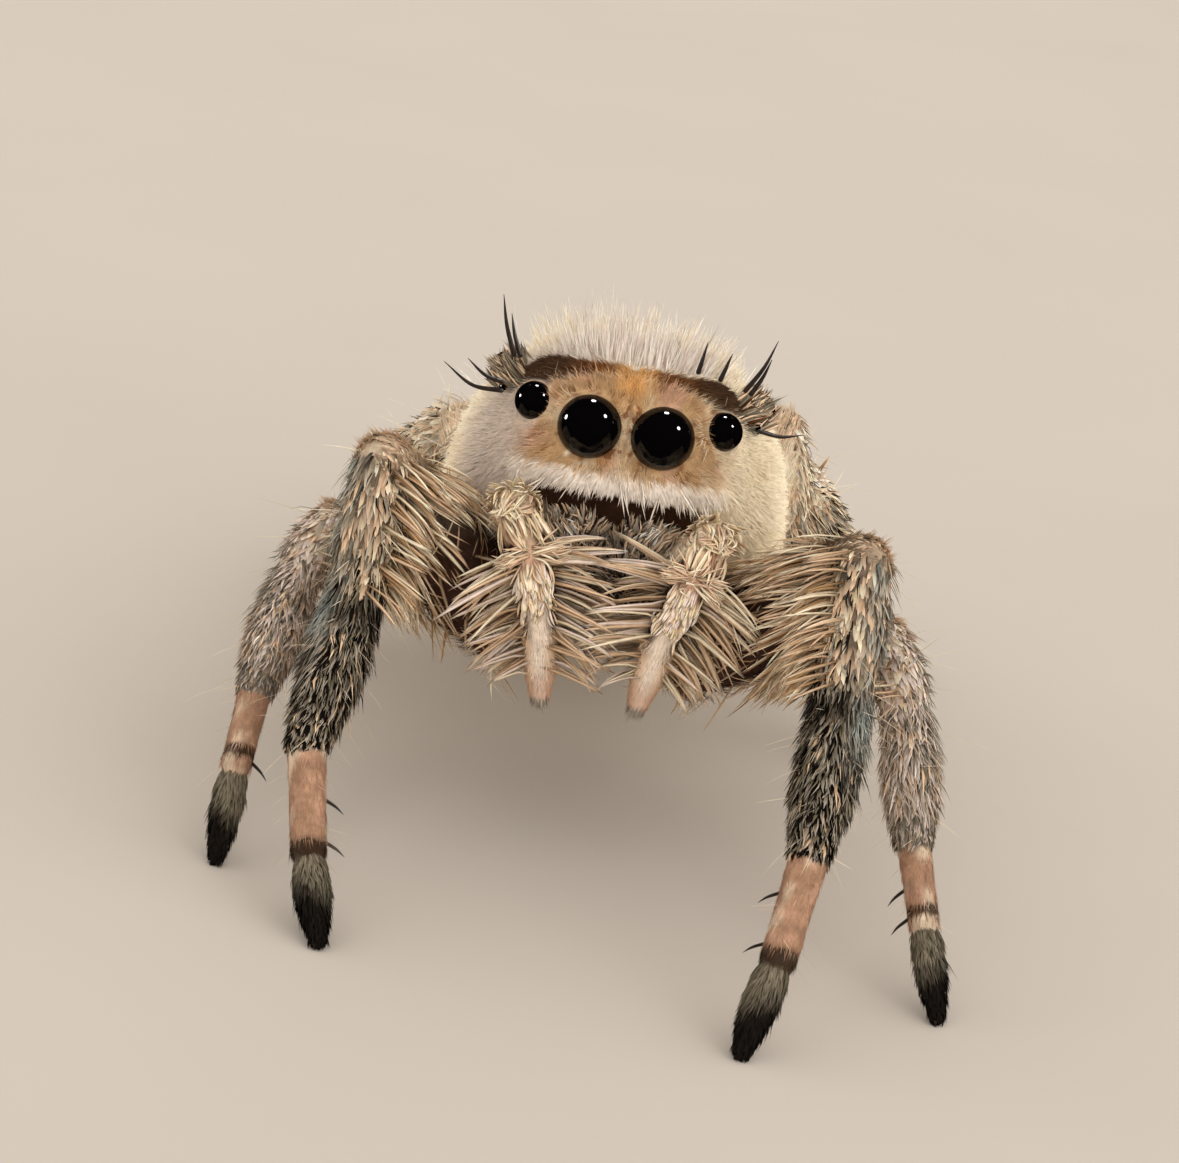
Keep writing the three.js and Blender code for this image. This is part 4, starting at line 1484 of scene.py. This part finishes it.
def palp_tufts(palp, seed):
    """All the kinds of hair on one palp, each segment on its own third of the bake map."""
    long = hair_length("fringe")
    names = [f"{palp}_{segment}" for segment in ("femur", "tibia", "tarsus")]
    femur, tibia, tarsus = (hair_on(name, (0.34 * k, 0, 0.32, 1)) for k, name in enumerate(names))
    return [
        tibia(200, seed, length=0.46, width=0.052, lift=(24, -6), lock=4, **KNUCKLE,
              where=lambda s: step(0.3, 0.2, s.share) * (0.35 + on_front(s)) * (
                  1 + 3 * step(0.1, 0.03, s.share)),
              tint=drawn(straw=3, cream=3, peach=4, flesh=1)),
        tibia(150, seed + 1, length=0.24, width=0.05, lift=(30, 8), lock=4, pull=0.7, root_shade=0.85,
              where=lambda s: step(0.47, 0.52, s.share) * step(0.85, 0.66, s.share) * on_front(s),
              tint=drawn(straw=2, cream=4, mauve=4, beige=2), **BRISTLES),
        tibia(70, seed + 7, length=0.4, width=0.04, lift=(34, 12), lock=3, pull=0.7, root_shade=0.8,
              where=lambda s: bump(0.44, 0.07, s.share) * on_front(s), lie=fan(0.3, 0.3), sway=25,
              tint=drawn(beige=4, cream=3, peach=3), **BRISTLES),
        tibia(230, seed + 2, length=long * 1.3, width=0.058, lift=(fan_lift(34, 62), fan_lift(22, 48)),
              where=lambda s: step(0.36, 0.44, s.share) * off_front(s), lie=fan(-0.6, 0.9), droop=0.2,
              **STRANDS),
        tarsus(190, seed + 3, length=lambda s: long * (1.2 - 0.6 * s.share), width=0.054,
               lift=(fan_lift(26, 58), fan_lift(12, 40)), lie=fan(0.2, 1.0), droop=0.3,
               where=lambda s: step(0.6, 0.4, s.share) * (0.1 + off_front(s)), **STRANDS),
        tarsus(2600, seed + 4, length=0.13, width=0.02, tint=painted(names[2]), **SOFT),
        tibia(1500, seed + 6, length=0.15, width=0.022, tint=painted(names[1]),
              where=lambda s: step(0.4, 0.5, s.share) * on_front(s), **SOFT),
        femur(130, seed + 8, length=0.4, width=0.05, lift=(18, -4), lock=3, **KNUCKLE,
              where=lambda s: step(0.7, 0.85, s.share) * step(-0.2, 0.2, s.normal[:, 2]),
              lie=lambda s: s.along - 0.8 * UP - (0, 0.6, 0), tint=drawn(straw=3, cream=4, peach=3)),
        femur(900, seed + 5, length=0.2, width=0.026, lift=(14, 14), rings=1, tint=painted(names[0]),
              lock=6, root_shade=0.9, vary=0.06),
    ]


class SPIDER_OT_palp_coats(Operator):
    """Grow the palps' knuckle tufts, side fringes and soft tips"""
    bl_idname = "spider.palp_coats"
    bl_label = "Palp coats"

    def execute(self, context):
        for seed, palp in ((41, "palp_right"), (51, "palp_left")):
            make_coat(f"{palp}_coat", "palp_coat", palp_tufts(palp, seed))
        return {"FINISHED"}


def on_knee(s):
    """1 on the patella, the upper half of a shin's run, and 0 on the shin below it."""
    return step(KNEE_JOINT, KNEE_JOINT - 0.05, s.share)


# Each of these takes a part's name, its pair of legs, the growing of hair on it and its first seed.

def thigh_tufts(name, pair, hair, seed):
    """A short coat, long strands below, loose hair and the locks over the thigh's end."""
    long = hair_length("leg")
    return [
        hair(6500, seed, length=lambda s: long * (0.9 - 0.35 * step(0.6, 0.95, s.share)), width=0.026,
             lift=(16, 16), rings=1, where=lambda s: 1 - 0.7 * shaded_hollow_weight(s.point),
             tint=painted(name), lock=7, sway=12, root_shade=0.9, vary=0.07),
        hair(460, seed + 1, length=long * 2.0, width=0.05, lift=(42, 24), rings=4, lie=inwards,
             where=lambda s: step(0.95, 0.85, s.share) * under_fringe(s.point) * thin_veil(s.point) * (
                 s.normal[:, 1] < 0.3),
             tint=drawn(**STRAND_MIX), sway=12, lock=2, pull=0.8, close=0.6, droop=0.3, ragged=0.12,
             root_shade=0.35),
        hair(500 if pair == 1 else 150, seed + 2, length=long * 1.3, width=0.03, lift=(26, 10),
             where=lambda s: step(0.85, 0.6, s.share) * (1 - 0.9 * shaded_hollow_weight(s.point)),
             tint=drawn(beige=5, cream=3, tan=2, olive=1), lock=3, sway=16),
        hair(480, seed + 3, length=long * 0.45, width=0.05, lift=(8, 2), ragged=0.12, lock=2, pull=0.5,
             where=lambda s: step(0.8, 0.9, s.share) * step(-0.2, 0.3, s.normal[:, 2]), sway=14,
             tint=drawn(0.9, peach=4, beige=4, cream=2, olive=2), root_shade=0.4),
    ]


# Colours of the knee's locks, its outer side and the shin, as shares, for each pair of legs.
KNEE_MIX = {1: dict(peach=4, cream=3, beige=4, straw=1), 2: dict(mauve=5, grey=2, cream=3, beige=2),
            3: dict(cream=6, pale=2, beige=2), 4: dict(cream=6, pale=2, beige=2)}
OUTER_MIX = {1: dict(grey=4, olive=2, slate=1.5, beige=2), 2: dict(grey=3, mauve=5),
             3: dict(cream=4, grey=3), 4: dict(cream=4, grey=3)}
SHIN_MIX = {1: dict(black=6, olive=4, grey=4.5, beige=0.8), 2: dict(grey=5, mauve=6, beige=3, olive=1),
            3: dict(grey=4, cream=3, beige=3, olive=2, black=2),
            4: dict(grey=4, cream=3, beige=3, olive=2, black=2)}
KNEE_FRINGE = {1: (220, 1.9), 2: (60, 1.9), 3: (12, 0.9), 4: (12, 0.9)}     # hairs, and share of length
SHIN_ROOTS = {1: 0.3, 2: 0.6, 3: 0.6, 4: 0.6}                               # painted shade at the roots, which darkens the gaps between the locks


def knee_tint(pair):
    """A tint setting: the locks over the knee, greyer on the outer side."""
    def tint(s, rng):
        inner = choose(rng, len(s.share), **KNEE_MIX[pair]) * 0.88
        outer = choose(rng, len(s.share), **OUTER_MIX[pair])
        return blend(inner, outer, 0.9 * step(0.0, 0.7, np.cos(s.turn)))
    return tint


def shin_tint(pair):
    """A tint setting: the shin, bluish on its outer side.

    The first legs have a dark ring and a blue patch below the knee, the second a darker lower end.
    """
    def tint(s, rng):
        mix = choose(rng, len(s.share), **SHIN_MIX[pair])
        outer = choose(rng, len(s.share), slate=2, grey=2)
        mix = blend(mix, outer, 0.7 * step(0.2, 0.9, np.cos(s.turn)) * step(0.75, 0.5, s.share))
        mix = blend(mix, tone("black"), 0.8 * bump(KNEE_JOINT + 0.03, 0.06, s.share) * (pair == 1))
        mix = blend(mix, tone("olive") * 0.6, 0.55 * step(0.72, 0.92, s.share) * (pair == 2))
        patch = bump(KNEE_JOINT + 0.06, 0.08, s.share) * bump(0.5, 0.6, s.turn)
        return blend(mix, tone("slate") * 1.2, 0.8 * patch * (pair == 1))
    return tint


def shin_tufts(name, pair, hair, seed):
    """Locks and strands of the knee, two lengths of hair below it and a few long stray hairs."""
    # deep: painted shade at the roots of the knee's locks and the shin's hair, dark between the locks.
    long, deep, below = hair_length("leg"), SHIN_ROOTS[pair], shin_tint(pair)
    count, reach = KNEE_FRINGE[pair]
    return [
        hair(680, seed, length=long * 0.75, width=0.074, lift=(12, 2), where=on_knee,
             tint=knee_tint(pair), lock=2, pull=0.5, sway=9, root_shade=deep),
        hair(count, seed + 1, length=long * reach, width=0.05, lift=(52, 36), rings=4, sway=12,
             where=lambda s: step(0.0, 0.6, -np.cos(s.turn)) * on_knee(s), droop=0.25, ragged=0.1,
             lie=lambda s: inwards(s) + 0.3 * s.along, lock=2, pull=0.8, close=0.6, root_shade=0.3,
             tint=drawn(**STRAND_MIX)),
        hair(1500, seed + 2, length=lambda s: long * (0.85 - 0.5 * step(0.7, 0.95, s.share)),
             width=0.05, lift=(24, 6), rings=2, where=lambda s: 1 - on_knee(s) * 0.93, tint=below,
             lock=3, pull=0.6, sway=16, root_shade=deep, tip_shade=1.0, vary=0.16),
        hair(1900, seed + 4, length=lambda s: long * (0.9 - 0.6 * step(0.7, 0.95, s.share)),
             width=0.024, lift=(36, 14), rings=2, where=lambda s: 1 - on_knee(s) * 0.8, tint=below,
             lock=5, pull=0.5, sway=16, root_shade=0.5, tip_shade=1.0, vary=0.16),
        hair(60, seed + 3, length=0.66, width=0.01, lift=(66, 52), tint=drawn(ivory=1), sway=30,
             root_shade=0.9),
    ]


def stocking_tufts(name, pair, hair, seed):
    """Fine short hair and a few stray hairs."""
    return [
        hair(2000, seed, length=0.13, width=0.018, lift=(14, 4), rings=1, tint=painted(name),
             root_shade=0.9, vary=0.1),
        hair(20, seed + 1, length=0.36, width=0.009, lift=(60, 48), tint=drawn(beige=1), sway=30,
             root_shade=0.9),
    ]


def foot_tufts(name, pair, hair, seed):
    """A brush of hair that gets shorter towards the claws."""
    return [hair(2200, seed, length=lambda s: 0.2 - 0.1 * step(0.6, 0.95, s.share), width=0.026,
                 lift=(28, 6), rings=2, tint=painted(name), lock=6, pull=0.45, root_shade=0.7, vary=0.15)]


# Pairs of legs whose coats are one piece, and how many hairs each pair has beside the first.
LEG_GROUPS = {"front": (1, 2), "hind": (3, 4)}
HAIR_SHARE = {1: 1.0, 2: 0.75, 3: 0.6, 4: 0.6}
# Each kind of coat: the segment that it grows on, its slot and its tufts.
SEGMENT_COATS = {"thigh": ("femur", "thigh_coat", thigh_tufts),
                 "shin": ("tibia", "shin_coat", shin_tufts),
                 "stocking": ("metatarsus", "stocking", stocking_tufts),
                 "foot": ("tarsus", "foot_coat", foot_tufts)}


class SPIDER_OT_leg_coats(Operator):
    """Grow the coats of the legs, one piece for each kind of segment of the front and of the hind legs"""
    bl_idname = "spider.leg_coats"
    bl_label = "Leg coats"

    def execute(self, context):
        seed = 100
        for word, (segment, slot, tufts_of) in SEGMENT_COATS.items():
            for group, pairs in LEG_GROUPS.items():
                tufts = []
                for column, leg in enumerate(leg for leg in LEG_POSES if int(leg[4]) in pairs):
                    name, pair = f"{leg}_{segment}", int(leg[4])
                    hair = hair_on(name, (column * 0.25 + 0.005, 0, 0.24, 1), HAIR_SHARE[pair])
                    tufts += tufts_of(name, pair, hair, seed)
                    seed += 10
                make_coat(f"{word}_coat_{group}", slot, tufts)
        return {"FINISHED"}


# ---------------------------------------------------------------- bristles, spines and claws

SPIKE_TAPER = (1, 0.85, 0.55, 0.12)
LONG_SPIKE_GRID, SHORT_SPIKE_GRID = (16, 8), (12, 8)


def spike(base, tip, girth, bow):
    """A tapered round spine: a curve from base to tip, pushed out by bow at its middle."""
    base, tip, bow = (np.asarray(v, float) for v in (base, tip, bow))
    radii = [girth * share for share in SPIKE_TAPER]
    return Limb([base, (base + tip) / 2 + bow, tip], radii, (1, 0.2, 0.3), 1)


# Long dark bristles at the corners of the head: base, tip and bow, each side, back and height.
HEAD_BRISTLES = (
    ((-1.6, 0.6, 6.8), (-1.86, 0.75, 7.55), (-0.03, 0, 0.0)),
    ((-1.52, 0.62, 6.8), (-1.72, 0.8, 7.3), (-0.02, 0, 0.0)),
    ((-1.69, 0.6, 6.3), (-2.5, 0.75, 6.52), (0.0, 0, -0.12)),
    ((-1.7, 0.65, 6.4), (-2.2, 0.8, 6.6), (0.0, 0, -0.06)),
    ((1.44, 0.6, 6.84), (1.76, 0.8, 7.52), (0.03, 0, -0.02)),
    ((1.52, 0.62, 6.8), (1.72, 0.8, 7.26), (0.02, 0, 0.0)),
    ((1.72, 0.7, 6.3), (2.3, 0.85, 6.3), (0.0, 0, -0.05)),
    ((0.8, 0.7, 6.95), (0.86, 0.8, 7.35), (0.0, 0, 0.0)),
    ((1.1, 0.7, 6.9), (1.2, 0.8, 7.25), (0.0, 0, 0.0)),
)
# Spines on the slender segments: share of the run and turn from the outer side, in radians.
PAIRED_SPINES = ((0.45, -0.5), (0.45, 3.6), (0.8, -0.5), (0.8, 3.6))
LEG_SPINES = {"leg_1_right": ((0.5, 3.3), (0.84, 3.3)), "leg_1_left": ((0.42, 3.3), (0.82, 3.3)),
              "leg_2_right": ((0.85, 3.5),), "leg_2_left": ((0.55, 3.5), (0.85, 3.5))}


def leg_spines():
    """Spines that stand out from the slender segments and lean towards the foot."""
    for name in LEG_POSES:
        part = PARTS[f"{name}_metatarsus"]
        for share, turn in LEG_SPINES.get(name, PAIRED_SPINES):
            s = spots_on(part, np.array([share]), np.array([turn]))
            root = s.point[0] - 0.03 * s.normal[0]
            way = unit(s.along[0] * 0.6 + s.normal[0] * 0.8)
            yield spike(root, root + way * 0.32, 0.024, s.normal[0] * 0.03)


def claws():
    """Two small hooked claws at the end of each foot."""
    for name in LEG_POSES:
        part = PARTS[f"{name}_tarsus"]
        _, wide, high = part.axes(np.array([1.0]))
        along = part.axes(np.array([1.0]))[0][0]
        for side in (-1, 1):
            root = part.path[-1] + along * 0.05 + wide[0] * side * 0.05
            yield spike(root, root + along * 0.1 - high[0] * 0.02, 0.02, high[0] * 0.03)


class SPIDER_OT_bristles(Operator):
    """Make the dark bristles of the head, the leg spines and the claws"""
    bl_idname = "spider.bristles"
    bl_label = "Bristles and claws"

    def execute(self, context):
        finish = material_named("spine_horn", hard_chitin, "#2B211C", 0.08, 0.35)
        head = [spike(base, tip, 0.034, bow) for base, tip, bow in HEAD_BRISTLES]
        for name, spikes, grid in (("head_bristles", head, LONG_SPIKE_GRID),
                                   ("leg_spines", leg_spines(), SHORT_SPIKE_GRID),
                                   ("claws", claws(), SHORT_SPIKE_GRID)):
            points, faces = merged([surface(part.place, *grid) for part in spikes])
            make_piece(name, points, faces, finish, "bristle")
        return {"FINISHED"}


# ---------------------------------------------------------------- stage

EYES_IN_VIEW = (0.4716, 1.9186)     # mm that the eyes stand right of and above the view's middle
FLOOR_HALF = 0.6                    # metres


def camera_axes(stage):
    """Right, up and forward of a rolled camera that looks down at the spider from straight ahead."""
    e, r = stage.elevation, stage.roll
    forward = np.array([0, math.cos(e), -math.sin(e)])
    level, upright = np.array([1.0, 0, 0]), np.array([0, math.sin(e), math.cos(e)])
    right = level * math.cos(r) + upright * math.sin(r)
    up = -level * math.sin(r) + upright * math.cos(r)
    return right, up, forward


def soft_light(name, azimuth, elevation, spread, strength):
    """A sun lamp, spread degrees wide so that its shadows are soft. LAMPS gives its angles."""
    lamp = bpy.data.lights.new(name, "SUN")
    lamp.energy, lamp.angle = strength, math.radians(spread)
    piece = bpy.data.objects.new(name, lamp)
    bpy.context.scene.collection.objects.link(piece)
    a, e = math.radians(azimuth), math.radians(elevation)
    way = Vector((math.sin(a) * math.cos(e), -math.cos(a) * math.cos(e), math.sin(e)))
    piece.rotation_euler = way.to_track_quat("Z", "Y").to_euler()
    piece.visible_glossy = False


def catch_light(name, place, target, size, watts):
    """A small round lamp that shows only in glossy surfaces."""
    lamp = bpy.data.lights.new(name, "AREA")
    lamp.shape, lamp.size, lamp.energy = "DISK", size, watts
    piece = bpy.data.objects.new(name, lamp)
    bpy.context.scene.collection.objects.link(piece)
    piece.location = place
    piece.rotation_euler = (Vector(target) - Vector(place)).to_track_quat("-Z", "Y").to_euler()
    piece.visible_diffuse, piece.visible_camera = False, False


# Sun lamps: degrees from straight ahead to the spider's left, over the floor, and wide, and strength.
LAMPS = {
    "key": (25, 38, 70, 1.05),
    "fill": (-12, 12, 100, 0.8),
    "left_side": (78, 20, 90, 1.15),
    "right_side": (-78, 20, 90, 0.9),
    "rim": (180, 22, 90, 0.5),
}
# Where the three small lamps show in the front middle eyes: right and up, as shares of the radius.
CATCH_LIGHTS = ((0.12, 0.74), (-0.7, 0.27), (0.47, 0.28))
CATCH_DISTANCE, CATCH_SIZE, CATCH_WATTS = 0.3, 0.055, 0.5


class SPIDER_OT_stage(Operator):
    """Make the floor, the lights and the camera"""
    bl_idname = "spider.stage"
    bl_label = "Stage"

    def execute(self, context):
        scene = context.scene
        stage = scene.spider_stage
        corners = [(x, y, 0.0) for y in (-FLOOR_HALF, FLOOR_HALF) for x in (-FLOOR_HALF, FLOOR_HALF)]
        mesh = bpy.data.meshes.new("floor")
        mesh.from_pydata(corners, [], [(0, 1, 3, 2)])
        mesh.materials.append(material_named("matt_card", floor_board))
        floor = bpy.data.objects.new("floor", mesh)
        scene.collection.objects.link(floor)
        floor.visible_glossy = False

        right, up, forward = camera_axes(stage)
        eyes = np.array([0, 0, EYE_HEIGHT])
        place = eyes - right * EYES_IN_VIEW[0] - up * EYES_IN_VIEW[1] - forward * stage.distance * 1000
        camera = bpy.data.cameras.new("camera")
        camera.lens, camera.sensor_width = stage.lens, 36.0
        camera.clip_start, camera.clip_end = 0.001, 10.0
        viewer = bpy.data.objects.new("camera", camera)
        scene.collection.objects.link(viewer)
        axes = Matrix([list(row) for row in np.column_stack([right, up, -forward])]).to_4x4()
        viewer.matrix_world = Matrix.Translation(Vector(to_row(place))) @ axes
        scene.camera = viewer

        target = to_row(eyes)
        glow = stage.brightness
        for name, (azimuth, elevation, spread, strength) in LAMPS.items():
            soft_light(name, azimuth, elevation, spread, strength * glow)
        for index, (across, rise) in enumerate(CATCH_LIGHTS):
            normal = right * across + up * rise - forward * math.sqrt(1 - across ** 2 - rise ** 2)
            way = 2 * (normal @ -forward) * normal + forward
            place = target + way * CATCH_DISTANCE
            catch_light(f"catch_{index}", place, target, CATCH_SIZE, CATCH_WATTS * glow)

        world = bpy.data.worlds.new("studio")
        scene.world = world
        world.use_nodes = True
        background = world.node_tree.nodes["Background"]
        background.inputs["Color"].default_value = (*linear("#FFF8EE"), 1)
        background.inputs["Strength"].default_value = 0.58 * glow
        world.cycles_visibility.glossy = False
        scene.view_settings.view_transform = "Standard"
        return {"FINISHED"}


# ---------------------------------------------------------------- panel and run

OPERATORS = (SPIDER_OT_skin, SPIDER_OT_eyes, SPIDER_OT_jaws, SPIDER_OT_face_coat, SPIDER_OT_body_coat,
             SPIDER_OT_abdomen_coat, SPIDER_OT_palp_coats, SPIDER_OT_leg_coats, SPIDER_OT_bristles,
             SPIDER_OT_stage)


class VIEW3D_PT_spider(Panel):
    """Sizes, colours and steps of the spider"""
    bl_idname = "VIEW3D_PT_spider"
    bl_label = "Jumping Spider"
    bl_space_type = "VIEW_3D"
    bl_region_type = "UI"
    bl_category = "Spider"

    def draw(self, context):
        for group in (context.scene.spider_coat, context.scene.spider_colours, context.scene.spider_stage):
            box = self.layout.box()
            for key in group.bl_rna.properties.keys():
                if key not in {"rna_type", "name"}:
                    box.prop(group, key)
        for operator in OPERATORS:
            self.layout.operator(operator.bl_idname)


CLASSES = (SpiderColours, SpiderCoat, SpiderStage) + OPERATORS + (VIEW3D_PT_spider,)


def register():
    for cls in CLASSES:
        bpy.utils.register_class(cls)
    bpy.types.Scene.spider_colours = PointerProperty(type=SpiderColours)
    bpy.types.Scene.spider_coat = PointerProperty(type=SpiderCoat)
    bpy.types.Scene.spider_stage = PointerProperty(type=SpiderStage)


def unregister():
    del bpy.types.Scene.spider_stage, bpy.types.Scene.spider_coat, bpy.types.Scene.spider_colours
    for cls in reversed(CLASSES):
        bpy.utils.unregister_class(cls)


def main():
    """Registers the classes, then builds every group."""
    register()
    for operator in OPERATORS:
        group, name = operator.bl_idname.split(".")
        getattr(getattr(bpy.ops, group), name)()


if __name__ == "__main__":
    main()
